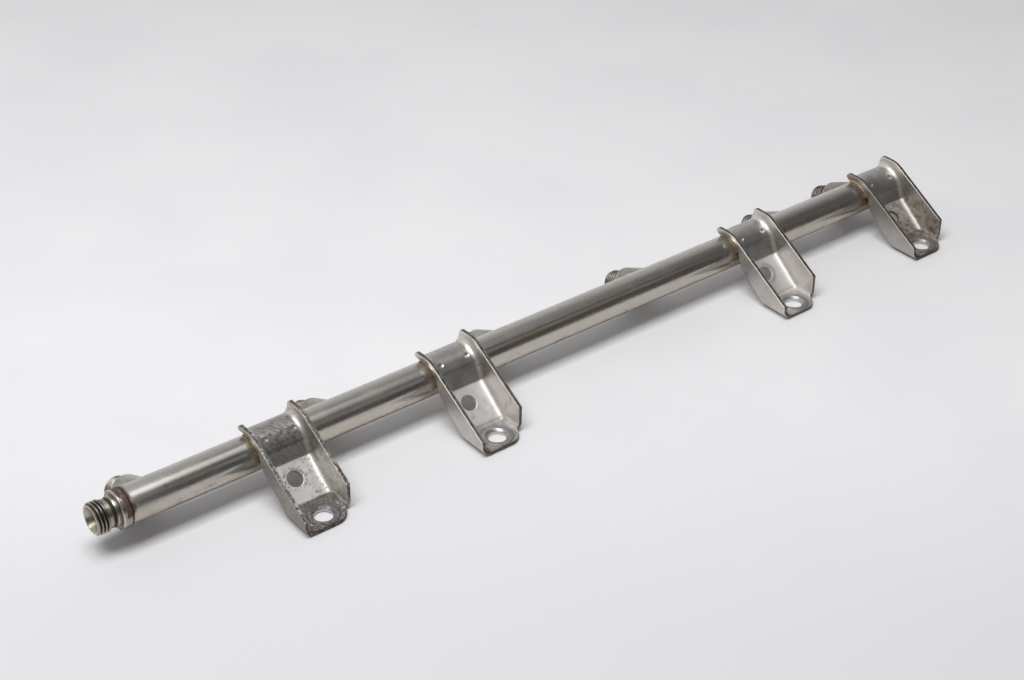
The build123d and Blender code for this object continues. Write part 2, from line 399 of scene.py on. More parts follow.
def settle(fn, p, steps=3, limit=0.25):
    for _ in range(steps):
        f = fn(*p.T)
        g = gradient(fn, p)
        gg = np.maximum((g ** 2).sum(1), 0.05)
        step = -f[:, None] * g / gg[:, None]
        ln = np.linalg.norm(step, axis=1)
        step *= np.minimum(1, limit / np.maximum(ln, 1e-9))[:, None]
        p = p + step
    return p


def smooth(a, b, x):
    t = np.clip((np.asarray(x, float) - a) / (b - a), 0, 1)
    return t * t * (3 - 2 * t)


def bump_at(x, c, w):
    return np.exp(-((x - c) / w) ** 2)


def set_attr(ob, name, values):
    a = ob.data.attributes.new(name, "FLOAT", "POINT")
    a.data.foreach_set("value", np.ascontiguousarray(values, dtype=np.float32))


def weighted_normals(v, faces):
    """vertex normals weighted by face area, so flat faces stay flat beside small roundings"""
    v = np.asarray(v, float)
    q = np.array(faces)
    n = np.cross(v[q[:, 2]] - v[q[:, 0]], v[q[:, 3 if q.shape[1] > 3 else 1]] - v[q[:, 1 if q.shape[1] > 3 else 0]])
    out = np.zeros_like(v)
    for k in range(q.shape[1]):
        np.add.at(out, q[:, k], n)
    ln = np.linalg.norm(out, axis=1)
    return out / np.maximum(ln, 1e-12)[:, None]


# --------------------------------------------------------- bracket base mesh
BH = 0.33
B_V, B_Q = surface_nets(bracket_sdf, (-14.1, -44.7, -17.7), (14.1, 7.1, 15.6), BH)
B_V = settle(bracket_sdf, B_V)
B_N = gradient(bracket_sdf, B_V)
B_N /= np.maximum(np.linalg.norm(B_N, axis=1), 1e-9)[:, None]


def sheet_parts(p):
    """for the vertices of a bracket: depth inside the sheet, distance to the cut outline, inside of the trough or not"""
    x, y, z = p.T
    d = d_floor(y, z)
    c_a, c_b = -d, np.abs(x) - INNER
    c = np.hypot(np.maximum(c_a + BEND, 0), np.maximum(c_b + BEND, 0)) - BEND + np.minimum(np.maximum(c_a + BEND, c_b + BEND), 0)
    sheet = np.abs(c - T / 2) - T / 2
    side = np.where(x < 0, poly_sdf(y, z, SIDE[-1]), poly_sdf(y, z, SIDE[1]))
    side = np.maximum(side, d_trim(x, y))
    return sheet, side, c, d


B_SHEET, B_SIDE, B_C, B_D = sheet_parts(B_V)
B_ANG = np.degrees(np.arctan2(B_V[:, 2], B_V[:, 1]))
B_ANG = np.where(B_ANG < -90, B_ANG + 360, B_ANG)
B_S = (B_V[:, 1] - WEB[0]) * D_WEB[0] + (B_V[:, 2] - WEB[1]) * D_WEB[1]
B_IN = smooth(0.9, 0.3, B_C)                                   # inner side of the trough
B_FLOOR = smooth(INNER - 0.6, INNER - 2.6, np.abs(B_V[:, 0]))
B_SAD = B_IN * B_FLOOR * smooth(0.1, -0.8, B_S) * smooth(50, 58, B_ANG) * (B_V[:, 1] > -14) * (B_ANG < 215)
B_WEBM = B_IN * smooth(-0.6, 0.6, B_S) * (B_V[:, 1] < -10) * smooth(FOOT_TOP + 0.3, FOOT_TOP + 1.2, B_V[:, 2])
B_FOOT = B_IN * smooth(FOOT_TOP + 1.5, FOOT_TOP + 0.6, B_V[:, 2]) * (B_V[:, 1] < -24)
B_RR = np.hypot(B_V[:, 0], B_V[:, 1] - PAD_Y)
B_OUT = smooth(1.1, 1.7, B_C)
B_WEBF = B_WEBM * smooth(10.0, 9.0, np.abs(B_V[:, 0]))
B_HOLE = np.hypot(B_V[:, 0] - WEB_HOLE_X, B_S - WEB_HOLE_S)
B_FLANGE_IN = B_IN * smooth(INNER - 1.4, INNER - 0.3, np.abs(B_V[:, 0]))


def bracket(i):
    """one pressed bracket with its own marks: i is 0 to 3 from the inlet"""
    name = "bracket_%d" % (i + 1)
    p = B_V
    x, y, z = p.T
    seed = 5.0 + 11.0 * i

    def wear(q):
        # depth lost to handling marks and pitting, millimetres, always inwards
        d = 0.016 * (fbm(q * 0.22, 2, seed) + 1) + 0.006 * (fbm(q * 1.1, 2, seed + 1) + 1)
        if i == 0:
            m = bump_at(np.degrees(np.arctan2(q[:, 2], q[:, 1])), 128, 26) * smooth(10.5, 8.5, np.abs(q[:, 0])) * (q[:, 1] < 2)
            d = d + m * 0.055 * smooth(-0.1, 0.5, fbm(q * 0.95, 3, seed + 2))
            w = smooth(-2, -5, q[:, 2]) * smooth(-14, -18, q[:, 1]) * smooth(0.0, 3.0, q[:, 0]) * smooth(9.5, 8, q[:, 0])
            d = d + w * 0.045 * smooth(0.1, 0.5, fbm(q * 1.2, 2, seed + 3))
        foot = smooth(-38.5, -41.5, q[:, 1]) * smooth(-10, -12, q[:, 2])
        amp = (0.10, 0.06, 0.03, 0.08)[i]
        return d + foot * amp * smooth(-0.05, 0.4, fbm(q * 0.8, 2, seed + 4))

    d = wear(p)
    g = np.empty_like(p)
    for k in range(3):
        a, b = p.copy(), p.copy()
        a[:, k] += 0.08
        b[:, k] -= 0.08
        g[:, k] = (wear(a) - wear(b)) / 0.16
    n = B_N + g
    n /= np.linalg.norm(n, axis=1)[:, None]
    v = p - B_N * d[:, None]
    v = v + (BR_X[i], 0, 0)
    ob = make_object(name + "_sheet", v, B_Q, normals=n)

    nz1 = fbm(p * 0.35, 3, seed + 6)
    nz2 = fbm(p * 1.3, 3, seed + 7)
    edge = smooth(0.12, 0.42, -B_SHEET) * smooth(-0.45, -0.1, B_SIDE)
    # painted glint: a thin bright line just inside the cut edges
    painted_glint = bump_at(B_SIDE, -0.40, 0.22) * smooth(0.3, 0.05, -B_SHEET) * (0.35 + 0.65 * smooth(-0.4, 0.3, nz1))
    painted_glint = painted_glint * (1 - (0.45, 0.0, 0.0, 0.25)[i] * smooth(-0.2, 0.3, nz2))
    # painted shade: darker along the saddle-to-web crease, in the web-to-foot toe fillet and in the inner corner of
    # the left flange and foot
    crease = bump_at(np.abs(B_ANG - 158), 0, 4.5) * B_IN * (y > -14.5) * (y < -8)
    toe = bump_at(z, FOOT_TOP + 0.5, 0.9) * bump_at(y, C2[0], 2.2) * B_IN
    corner_l = B_IN * bump_at(x, -9.6, 1.5) * smooth(-32, -37, y) * smooth(-11.5, -13.5, z)
    dark = 0.55 * crease + (0.6, 0.22, 0.15, 0.4)[i] * toe + (0.95, 0.6, 0.4, 0.6)[i] * corner_l
    # painted shade: the saddle and the left flange's outer face get a darker copy of the steel colour
    saddle = B_SAD + 0.55 * B_OUT * (x < 0)
    # painted light: the web gets a lighter copy of the steel colour, less of it on bracket 4
    web = B_WEBM * (0.85, 1.0, 1.0, 0.35)[i]
    # painted highlight: a bright band on the fillet between the web and the right flange, and a weaker one on the
    # saddle's right fillet
    painted_highlight = B_IN * smooth(-0.5, 1.5, B_S) * smooth(FOOT_TOP + 0.2, FOOT_TOP + 1.6, z) * bump_at(x, 9.0, 1.15) * (y < -10)
    painted_highlight = painted_highlight * (1.0, 1.0, 1.0, 0.8)[i] + 0.35 * B_IN * bump_at(x, 9.6, 1.1) * smooth(150, 128, B_ANG) * smooth(60, 75, B_ANG) * (y > -11)
    rust = np.zeros(len(p))
    warm = 0.35 * smooth(0.0, 0.6, nz1)
    grey = B_FOOT * smooth(PAD_R + 0.25, PAD_R - 0.15, B_RR)
    pit_foot = B_FOOT * smooth(PAD_R - 0.1, PAD_R + 0.5, B_RR)
    dark = dark + pit_foot * ((1.0, 0.30, 0.10, 0.72)[i] * smooth(-0.65, 0.2, nz2) + (0.15, 0.10, 0.05, 0.15)[i])
    dark = dark + grey * (0.85, 0.0, 0.08, 0.50)[i] * smooth(-0.7, 0.2, nz2)
    # painted shade: a thin dark ring round the foot of the raised pad
    dark = dark + B_FOOT * bump_at(B_RR, PAD_R + 0.30, 0.38) * (0.8, 0.6, 0.45, 0.7)[i]
    # painted shade on the web hole's wall
    dark = dark + (0.35, 0.15, 0.15, 0.85)[i] * (B_HOLE < WEB_HOLE_R + 0.1) * (B_V[:, 2] < 2) * (y < -12)
    rust = rust + pit_foot * (0.50, 0.28, 0.12, 0.45)[i] * smooth(-0.2, 0.4, nz1)
    front = smooth(FOOT_FRONT + 1.0, FOOT_FRONT + 0.3, y) * smooth(-12, -13.5, z)
    rust = rust + front * (0.55, 0.5, 0.2, 0.5)[i]
    dark = dark + front * (0.5, 0.35, 0.1, 0.3)[i] * smooth(-0.3, 0.3, nz2)
    if i == 0:
        m = B_SAD * smooth(66, 92, B_ANG + 10 * nz1) * smooth(11.5, 8.5, x) * (1 - 0.35 * smooth(150, 160, B_ANG))
        hatch = fbm(np.stack([(x + 0.8 * B_ANG * 0.17) * 0.55, (x - 0.8 * B_ANG * 0.17) * 1.9, 0 * x], 1), 3, seed + 2)
        dark = dark + m * (0.36 + 0.20 * smooth(100, 125, B_ANG) + 0.50 * smooth(-0.3, 0.4, hatch))
        dark = dark + 0.65 * edge * smooth(-0.35, 0.15, fbm(p * 0.9, 3, seed + 8))
        rust = rust + B_FLANGE_IN * (x > 0) * (0.16 + 0.30 * smooth(-0.3, 0.4, fbm(p * 0.5, 4, seed + 9)))
        w = B_WEBF * smooth(0.5, 4, x)
        dark = dark + w * 0.7 * smooth(0.12, 0.42, fbm(p * 1.2, 3, seed + 3))
        rust = rust + w * 0.35 * smooth(0.0, 0.5, nz2) + 0.22 * B_OUT * smooth(-0.3, 0.5, nz1)
        dark = dark + B_OUT * (0.32 + 0.24 * smooth(2, -8, z) + 0.14 * smooth(-0.1, 0.5, nz2))
        dark = dark + 0.85 * B_WEBM * bump_at(np.hypot(x - WEB_HOLE_X + 0.2, B_S - WEB_HOLE_S), 4.5, 0.8) * smooth(-0.25, 0.2, nz2)
    if i == 1:
        rust = rust + 0.28 * B_WEBM * bump_at(B_S, 15, 4.5) * smooth(-0.1, 0.4, nz1)
        warm = warm + 0.3 * B_FLANGE_IN * (x > 0)
    if i == 2:
        rust = rust + 0.3 * B_WEBM * smooth(-1, -6, x) * smooth(-0.2, 0.4, nz1)
        dark = dark + 0.55 * B_WEBM * bump_at(np.hypot(x - WEB_HOLE_X, B_S - WEB_HOLE_S), 4.6, 1.1) * smooth(0, 3, x - WEB_HOLE_X + 1.5)
        warm = warm + 0.3 * B_FLANGE_IN * (x > 0)
    if i == 3:
        w = np.clip(B_WEBM * smooth(9.2, 7.5, x) + B_FLANGE_IN * (x > 0) * smooth(7, -3, z), 0, 1)
        cloud = smooth(-0.35, 0.35, fbm(p * 0.42, 4, seed + 5))
        fleck = smooth(-0.05, 0.40, fbm(p * 1.7, 4, seed + 3))
        dark = dark + w * (0.18 * cloud + 0.75 * fleck * cloud * smooth(8.5, 3.0, x - 6 * (x > 10.5))) + 0.16 * B_OUT
        rust = rust + w * (0.22 + 0.40 * cloud) + 0.25 * w * fleck
        rust = rust + 0.42 * B_OUT * (x < 0) * smooth(-8, 5, z + 3 * nz1)
        dark = dark + 0.14 * B_SAD + 0.10 * B_OUT
        warm = warm + 0.25 * B_FLANGE_IN * (x > 0)
    spot_at = {3: (-12.75, -11.2, 2.6, 1.0)}.get(i)
    amber = np.zeros(len(p))
    if spot_at:
        amber = np.exp(-(((x - spot_at[0]) ** 2 + (y - spot_at[1]) ** 2 + (z - spot_at[2]) ** 2) / spot_at[3] ** 2))
        dd = np.hypot(x - DIMPLE_X, (B_ANG - math.degrees(DIMPLE_ANG)) * 0.17)
        amber = np.clip(amber + 0.7 * B_SAD * np.exp(-(dd / 0.8) ** 2), 0, 1)
    warm = warm + (0.30 * B_FLANGE_IN * (x > 0) + 0.22 * B_OUT * (x < 0)) * (0.7 + 0.5 * smooth(-0.3, 0.3, nz1))
    joint = B_OUT * smooth(12.4, 11.0, np.abs(x)) * smooth(13, 10.5, np.hypot(y, z))
    rust = rust + joint * 0.35
    # on bracket 1 the painted glint also falls in specks over the cut edges, and their dark edge colour is thinned
    # there
    if i == 0:
        flecks = fbm(B_V * 1.7, 3, 77.0)
        painted_glint = np.maximum(painted_glint, 0.45 * np.clip(edge, 0, 1) * smooth(0.12, 0.30, flecks))
        edge = edge * (0.45 + 0.55 * smooth(0.2, -0.1, flecks))
    set_attr(ob, "w_edge", np.clip(edge, 0, 1))
    set_attr(ob, "w_painted_glint", np.clip(painted_glint, 0, 1))
    set_attr(ob, "w_dirt_and_shade", np.clip(dark, 0, 1))
    set_attr(ob, "w_rust", np.clip(rust, 0, 1))
    set_attr(ob, "w_warm", np.clip(warm, 0, 1))
    set_attr(ob, "w_grey", np.clip(grey, 0, 1))
    set_attr(ob, "w_amber", amber)
    set_attr(ob, "w_saddle_shade", np.clip(saddle, 0, 1))
    set_attr(ob, "w_web_lit", np.clip(web, 0, 1))
    set_attr(ob, "w_painted_highlight", np.clip(painted_highlight, 0, 1))
    return ob, name


# ---------------------------------------------------------------------- tube
TUBE_X0, TUBE_X1 = -68.8, 365.9


def tube():
    nc = 112
    nx = 400
    xs = np.linspace(TUBE_X0, TUBE_X1, nx)
    th = np.linspace(0, 2 * math.pi, nc, endpoint=False)
    X, TH = np.meshgrid(xs, th, indexing="ij")
    q = np.stack([X.ravel() * 0.045, np.cos(TH.ravel()) * 1.2, np.sin(TH.ravel()) * 1.2], 1)
    q2 = np.stack([X.ravel() * 0.16, np.cos(TH.ravel()) * 3.0, np.sin(TH.ravel()) * 3.0], 1)
    r = TUBE_R - 0.010 * (fbm(q, 2, 3.0) + 1).reshape(X.shape) - 0.004 * (fbm(q2, 2, 9.0) + 1).reshape(X.shape)
    outer = np.stack([X, r * np.cos(TH), r * np.sin(TH)], 2)
    xi = np.linspace(TUBE_X1, TUBE_X0, 60)
    XI, TI = np.meshgrid(xi, th, indexing="ij")
    inner = np.stack([XI, BORE_R * np.cos(TI), BORE_R * np.sin(TI)], 2)
    v, f = rows_mesh(np.concatenate([outer, inner]))
    ob = make_object("rail_tube_body", v, f)
    cut_v, cut_f = [], []
    for ox in OUT_X:
        base = len(cut_v)
        n = 32
        for L in (4.5, 9.0):
            for k in range(n):
                a = 2 * math.pi * k / n
                cut_v.append(out_point(ox, L, 3.02, a))
        cut_f.append([base + k for k in range(n)][::-1])
        cut_f.append([base + n + k for k in range(n)])
        for k in range(n):
            m = (k + 1) % n
            cut_f.append((base + k, base + m, base + n + m, base + n + k))
    cme = bpy.data.meshes.new("cutter")
    cme.from_pydata(place(cut_v).tolist(), [], cut_f)
    cob = bpy.data.objects.new("cutter", cme)
    bpy.context.scene.collection.objects.link(cob)
    mod = ob.modifiers.new("holes", "BOOLEAN")
    mod.operation = "DIFFERENCE"
    mod.solver = "EXACT"
    mod.object = cob
    dg = bpy.context.evaluated_depsgraph_get()
    me = bpy.data.meshes.new_from_object(ob.evaluated_get(dg))
    ob.modifiers.clear()
    old = ob.data
    ob.data = me
    bpy.data.meshes.remove(old)
    me.name = "rail_tube_body"
    bpy.data.objects.remove(cob)
    bpy.data.meshes.remove(cme)
    me.polygons.foreach_set("use_smooth", [True] * len(me.polygons))
    me.set_sharp_from_angle(angle=math.radians(35))
    return ob


def out_point(ox, L, r, a):
    """point of an outlet: L along its axis from the tube's axis, r out, a round it"""
    u, w = r * np.sin(a), r * np.cos(a)
    return np.stack([ox + w + 0 * u, L * math.cos(A) + u * math.sin(A), -L * math.sin(A) + u * math.cos(A)], -1)


def thread_radius(L, a, crest, depth, pitch, hand=1.0):
    ph = (L / pitch + hand * a / (2 * math.pi)) % 1.0
    t = np.abs(2 * ph - 1)
    g = np.clip((t - 0.14) / (1 - 0.14 - 0.16), 0, 1)
    g = g * g * (3 - 2 * g) * 0.35 + g * 0.65
    return crest - depth * g, g


def round_profile(pts, n=4):
    """open profile ((along, radius), rounding) with its corners rounded"""
    out = []
    for i, (p, r) in enumerate(pts):
        p = np.array(p, float)
        if r <= 0 or i in (0, len(pts) - 1):
            out.append(p)
            continue
        a = np.array(pts[i - 1][0], float) - p
        b = np.array(pts[i + 1][0], float) - p
        la, lb = np.hypot(*a), np.hypot(*b)
        a, b = a / la, b / lb
        half = math.acos(max(-1, min(1, float(a @ b)))) / 2
        tl = min(r / math.tan(half), 0.45 * la, 0.45 * lb)
        rr = tl * math.tan(half)
        c = p + (a + b) / np.hypot(*(a + b)) * rr / math.sin(half)
        t0, t1 = p + a * tl - c, p + b * tl - c
        a0, a1 = math.atan2(t0[1], t0[0]), math.atan2(t1[1], t1[0])
        while a1 - a0 > math.pi:
            a1 -= 2 * math.pi
        while a1 - a0 < -math.pi:
            a1 += 2 * math.pi
        for k in range(n + 1):
            t = a0 + (a1 - a0) * k / n
            out.append(c + rr * np.array([math.cos(t), math.sin(t)]))
    return out


OUT_END, BOSS_END, BOSS_R = 27.339, 18.2, 7.4
OUT_CREST, OUT_NECK = 5.97, 5.2
NC_OUT = 88


def outlet(k):
    ox = OUT_X[k]
    name = "outlet_fitting_%d" % (k + 1)
    a = np.linspace(0, 2 * math.pi, NC_OUT, endpoint=False)
    rows, mask, zone = [], [], []

    # each row's third value is a painted-shade mask: darker in the braze corner, the neck groove, the thread grooves
    # and down the seat and bore
    def add(L, r, cavity_shade=0.0, zn=1.0):
        rows.append(out_point(ox, np.broadcast_to(L, a.shape), np.broadcast_to(r, a.shape), a))
        mask.append(np.broadcast_to(cavity_shade, a.shape))
        zone.append(np.broadcast_to(zn, a.shape))

    def on_tube(w, s, r):
        b = s / TUBE_R
        return np.stack([ox + w, r * np.cos(b) * math.cos(A) + r * np.sin(b) * math.sin(A),
                         -r * np.cos(b) * math.sin(A) + r * np.sin(b) * math.cos(A)], -1)

    # where the boss wall meets the tube, and a braze fillet over the corner
    w0, s0 = BOSS_R * np.cos(a), TUBE_R * np.arcsin(BOSS_R * np.sin(a) / TUBE_R)
    tw, ts = np.roll(w0, -1) - np.roll(w0, 1), np.roll(s0, -1) - np.roll(s0, 1)
    ln = np.hypot(tw, ts)
    nw, ns = ts / ln, -tw / ln
    gam = np.arccos(np.clip(np.sin(a) * np.sin(s0 / TUBE_R), -1, 1))
    wob = 1 + 0.16 * fbm(np.stack([np.cos(a) * 1.6, np.sin(a) * 1.6, 0 * a + k * 3.1], 1), 3, 4.0)
    fl = 2.9 * np.tan(gam / 2) * wob
    wf, sf = w0 + nw * fl, s0 + ns * fl
    foot = on_tube(wf, sf, TUBE_R - 0.01)
    I = on_tube(w0, s0, TUBE_R)
    L0 = TUBE_R * np.cos(s0 / TUBE_R)
    B = out_point(ox, L0 + fl, np.full(a.shape, BOSS_R), a)
    rows.append(on_tube(wf, sf, TUBE_R - 0.12)); mask.append(0 * a + 0.3); zone.append(0 * a)
    for t in np.linspace(0, 1, 9):
        rows.append((1 - t) ** 2 * foot + 2 * t * (1 - t) * I + t * t * B)
        mask.append(0 * a + 0.35 * (1 - t))
        zone.append(0 * a + t)
    top = BOSS_END - 0.9
    for t in (0.35, 0.7):
        add(L0 + fl + (top - 0.4 - L0 - fl) * t, BOSS_R)
    for L, r in round_profile([((top - 1.2, BOSS_R), 0), ((top, BOSS_R), 0.5), ((BOSS_END, BOSS_R - 0.9), 0.35),
                               ((BOSS_END, OUT_NECK), 0.3), ((BOSS_END + 1.2, OUT_NECK), 0)], 4):
        add(L, r, 0.95 * float(smooth(6.4, 5.5, r)))
    t0 = BOSS_END + 1.35
    n = 84
    for L in np.linspace(t0, OUT_END - 0.04, n):
        r, g = thread_radius(L + 0.37 * k, a + 0.9 * k, OUT_CREST, 0.92, 1.5)
        run = smooth(t0 + 0.1, t0 + 1.3, L)
        r = OUT_NECK + (r - OUT_NECK) * run
        lim = OUT_CREST - 0.8 + (OUT_END - L)
        cut = np.clip(r - lim, 0, 1)
        r = np.minimum(r, lim)
        add(L, r, np.clip(g * run, 0, 1) * (cut <= 0))
    face = OUT_CREST - 0.8
    seat_bottom = OUT_END - (4.4 - 1.5) / math.tan(math.radians(30))
    for L, r in round_profile([((OUT_END - 0.05, face - 0.02), 0), ((OUT_END, face - 0.12), 0.05), ((OUT_END, 4.4), 0.12),
                               ((seat_bottom, 1.5), 0.15), ((14.0, 1.5), 0), ((6.35, 1.5), 0.08), ((6.35, 2.98), 0.08),
                               ((7.9, 2.98), 0)], 4):
        add(L, r, 0.0 if L > OUT_END - 0.3 else float(smooth(OUT_END - 2.5, seat_bottom, L)), 1.0)
    v, f = rows_mesh(np.stack(rows))
    ob = make_object(name + "_body", v, f, normals=weighted_normals(v, f))
    m = np.concatenate(mask)
    zn = np.concatenate(zone)
    nz = fbm(v * 0.5, 3, 21.0 + k)
    nz2 = fbm(v * 1.4, 3, 31.0 + k)
    set_attr(ob, "w_cavity_shade", np.clip(m, 0, 1))
    set_attr(ob, "w_rust", np.clip((1 - zn) * 0.45 * smooth(-0.3, 0.4, nz), 0, 1))
    pit = (0.62, 0.66, 0.50, 0.55, 0.55, 0.85)[k]
    set_attr(ob, "w_gold_tint_and_reflection", 0 * nz)
    out = (v[:, 1] * math.cos(A) - v[:, 2] * math.sin(A))
    rad = np.sqrt(np.maximum((v[:, 0] - ox) ** 2 + (v[:, 1] * math.sin(A) + v[:, 2] * math.cos(A)) ** 2, 0))
    # painted glint: a bright ring on the boss's chamfer, made paler and less metallic in the material
    rim = np.clip(bump_at(out, BOSS_END - 0.60, 0.40) * smooth(6.4, 6.8, rad), 0, 1)
    set_attr(ob, "w_painted_glint", rim)
    set_attr(ob, "w_dirt_and_shade", np.clip((pit * (0.42 + 0.58 * smooth(0.0, 0.45, nz2)) + 0.25 * (1 - zn) * smooth(0, 0.4, nz2)) * (1 - rim), 0, 1))
    return ob, name


def lathe_x(profile_rows, a):
    """rows of (x, radius, mask); radius may vary round the axis"""
    rows, mask = [], []
    for x, r, m in profile_rows:
        r = np.broadcast_to(r, a.shape)
        x = np.broadcast_to(x, a.shape)
        rows.append(np.stack([x, r * np.cos(a), r * np.sin(a)], 1))
        mask.append(np.broadcast_to(m, a.shape))
    return np.stack(rows), np.concatenate(mask)


IN_FACE, IN_TH_END, IN_COLLAR = -82.8, -77.2, -72.8


def inlet():
    a = np.linspace(0, 2 * math.pi, 128, endpoint=False)
    P = []
    crest = 6.95
    face_r = crest - 0.9
    # each profile point carries a painted-shade mask: darker deep in the bore, in the thread grooves and in the neck
    # groove
    for x, r in round_profile([((-74.0, 1.6), 0), ((IN_FACE + 6.4, 1.6), 0.25), ((IN_FACE, 5.3), 0.10),
                               ((IN_FACE, face_r - 0.1), 0.06), ((IN_FACE + 0.06, face_r), 0)], 4):
        P.append((x, r, float(smooth(IN_FACE + 3.0, IN_FACE + 6.0, x))))
    n = 84
    for x in np.linspace(IN_FACE + 0.12, IN_TH_END + 0.5, n):
        r, g = thread_radius(x, a, crest, 0.92, 1.5, -1.0)
        run = smooth(IN_TH_END + 0.45, IN_TH_END - 0.75, x)
        r = 6.15 + (r - 6.15) * run
        r = np.minimum(r, face_r + (x - IN_FACE))
        P.append((x, r, np.clip(g * run, 0, 1)))
    for x, r in round_profile([((-76.6, 6.15), 0), ((-75.1, 6.15), 0.25), ((-74.85, 5.95), 0.15), ((-74.6, 5.95), 0.15), ((-74.3, 6.55), 0.25), ((-73.45, 6.75), 0.25),
                               ((-73.2, 6.4), 0.12), ((IN_COLLAR - 0.05, 6.4), 0.12), ((IN_COLLAR, 7.75), 0.15),
                               ((IN_COLLAR + 0.55, 8.35), 0.25), ((-71.75, 8.35), 0.12), ((-71.6, 8.12), 0.10),
                               ((-71.35, 8.12), 0.10), ((-71.2, 8.33), 0.12), ((-70.9, 8.33), 0), ((-70.7, 8.33), 0), ((-70.5, 8.33), 0), ((-70.3, 8.33), 0), ((-70.1, 8.33), 0), ((-69.8, 8.33), 0), ((-69.4, 8.33), 0), ((-68.95, 8.33), 0.15), ((-68.8, 8.15), 0.05),
                               ((-68.8, 6.0), 0.05), ((-61.0, 6.0), 0.2), ((-61.0, 1.6), 0.1), ((-66.0, 1.6), 0)], 4):
        P.append((x, r, float(0.9 * smooth(6.5, 6.2, r) if x > -75.2 and x < -72.7 else 0.0)))
    rows, m = lathe_x(P, a)
    v, f = rows_mesh(rows)
    f = [q[::-1] for q in f]
    ob = make_object("inlet_fitting_body", v, f, normals=weighted_normals(v, f))
    ang = np.degrees(np.arctan2(v[:, 2], v[:, 1])) % 360
    nz = fbm(v * 0.45, 3, 41.0)
    nz2 = fbm(v * 1.5, 3, 43.0)
    start = -70.95 + 0.45 * nz - 1.0 * smooth(128, 95, ang)
    rust = smooth(start - 0.2, start + 0.25, v[:, 0]) * (np.hypot(v[:, 1], v[:, 2]) > 8.0)
    rust = rust * (0.12 + 0.88 * smooth(181, 170, ang + 8 * nz) + 0.5 * smooth(230, 260, ang))
    set_attr(ob, "w_cavity_shade", np.clip(m, 0, 1))
    set_attr(ob, "w_rust", np.clip(rust, 0, 1))
    neck = smooth(-77.9, -77.0, v[:, 0]) * smooth(-72.6, -72.9, v[:, 0]) * (np.hypot(v[:, 1], v[:, 2]) > 5.7)
    thr = smooth(-76.4, -77.0, v[:, 0]) * (v[:, 0] > IN_FACE + 0.3) * (np.hypot(v[:, 1], v[:, 2]) > 5.7)
    # painted shade: the thread's upper side is darkened
    top_shade = smooth(150, 120, ang) * smooth(0, 40, ang)
    # dirt, rust, a darker neck and a darker collar front step, with painted shade on the thread's upper side and
    # inside the small bore
    set_attr(ob, "w_dirt_and_shade", np.clip(0.35 * smooth(0.1, 0.5, nz2) + 0.3 * rust * smooth(0, 0.4, nz2) + 0.24 * neck + 0.30 * thr * top_shade
                                + 0.55 * smooth(IN_COLLAR + 0.45, IN_COLLAR + 0.35, v[:, 0]) * (np.hypot(v[:, 1], v[:, 2]) > 7.0) * (v[:, 0] > IN_COLLAR - 0.1)
                                + 0.75 * smooth(3.1, 1.9, np.hypot(v[:, 1], v[:, 2])) * (v[:, 0] < -60), 0, 1))
    # a warm tint on the cone, with a painted golden reflection added on its lower side; the neck gets a warm tone too
    cone = smooth(5.6, 5.2, np.hypot(v[:, 1], v[:, 2])) * (v[:, 0] < -75)
    set_attr(ob, "w_gold_tint_and_reflection", np.clip(cone * (0.25 + 0.75 * smooth(3, -2, v[:, 2] + 0.5 * v[:, 1])) + 0.35 * neck, 0, 1))
    # painted glints: bright lines on the collar's front edge and on two rings before it
    set_attr(ob, "w_painted_glint", np.clip(0.7 * bump_at(v[:, 0], IN_COLLAR + 0.40, 0.18) * (np.hypot(v[:, 1], v[:, 2]) > 7.9) + 0.5 * bump_at(v[:, 0], -71.85, 0.10) + 0.2 * bump_at(v[:, 0], -73.6, 0.2), 0, 1))
    return ob


def inlet_braze():
    """ragged braze ring between the collar and the tube"""
    a = np.linspace(0, 2 * math.pi, 144, endpoint=False)
    c = np.stack([np.cos(a) * 1.5, np.sin(a) * 1.5, 0 * a], 1)
    w = 1.0 + 0.5 * fbm(c * 1.6, 3, 51.0)
    P = [(-68.75, 7.9, 0)]
    for t in np.linspace(0, 1, 7):
        x = -68.78 + w * t
        r = TUBE_R - 0.02 + 0.33 * (1 - t) ** 1.7 + 0.03 * fbm(np.stack([np.cos(a) * 4, np.sin(a) * 4, 0 * a + t * 2], 1), 2, 55.0) * (t < 0.95)
        P.append((x, r, 0))
    P.append((-68.78 + w, 7.9, 0))
    rows, m = lathe_x(P, a)
    v, f = rows_mesh(rows)
    f = [q[::-1] for q in f]
    ob = make_object("inlet_braze_ring", v, f, normals=weighted_normals(v, f))
    set_attr(ob, "w_toe", np.ones(len(v)))
    return ob


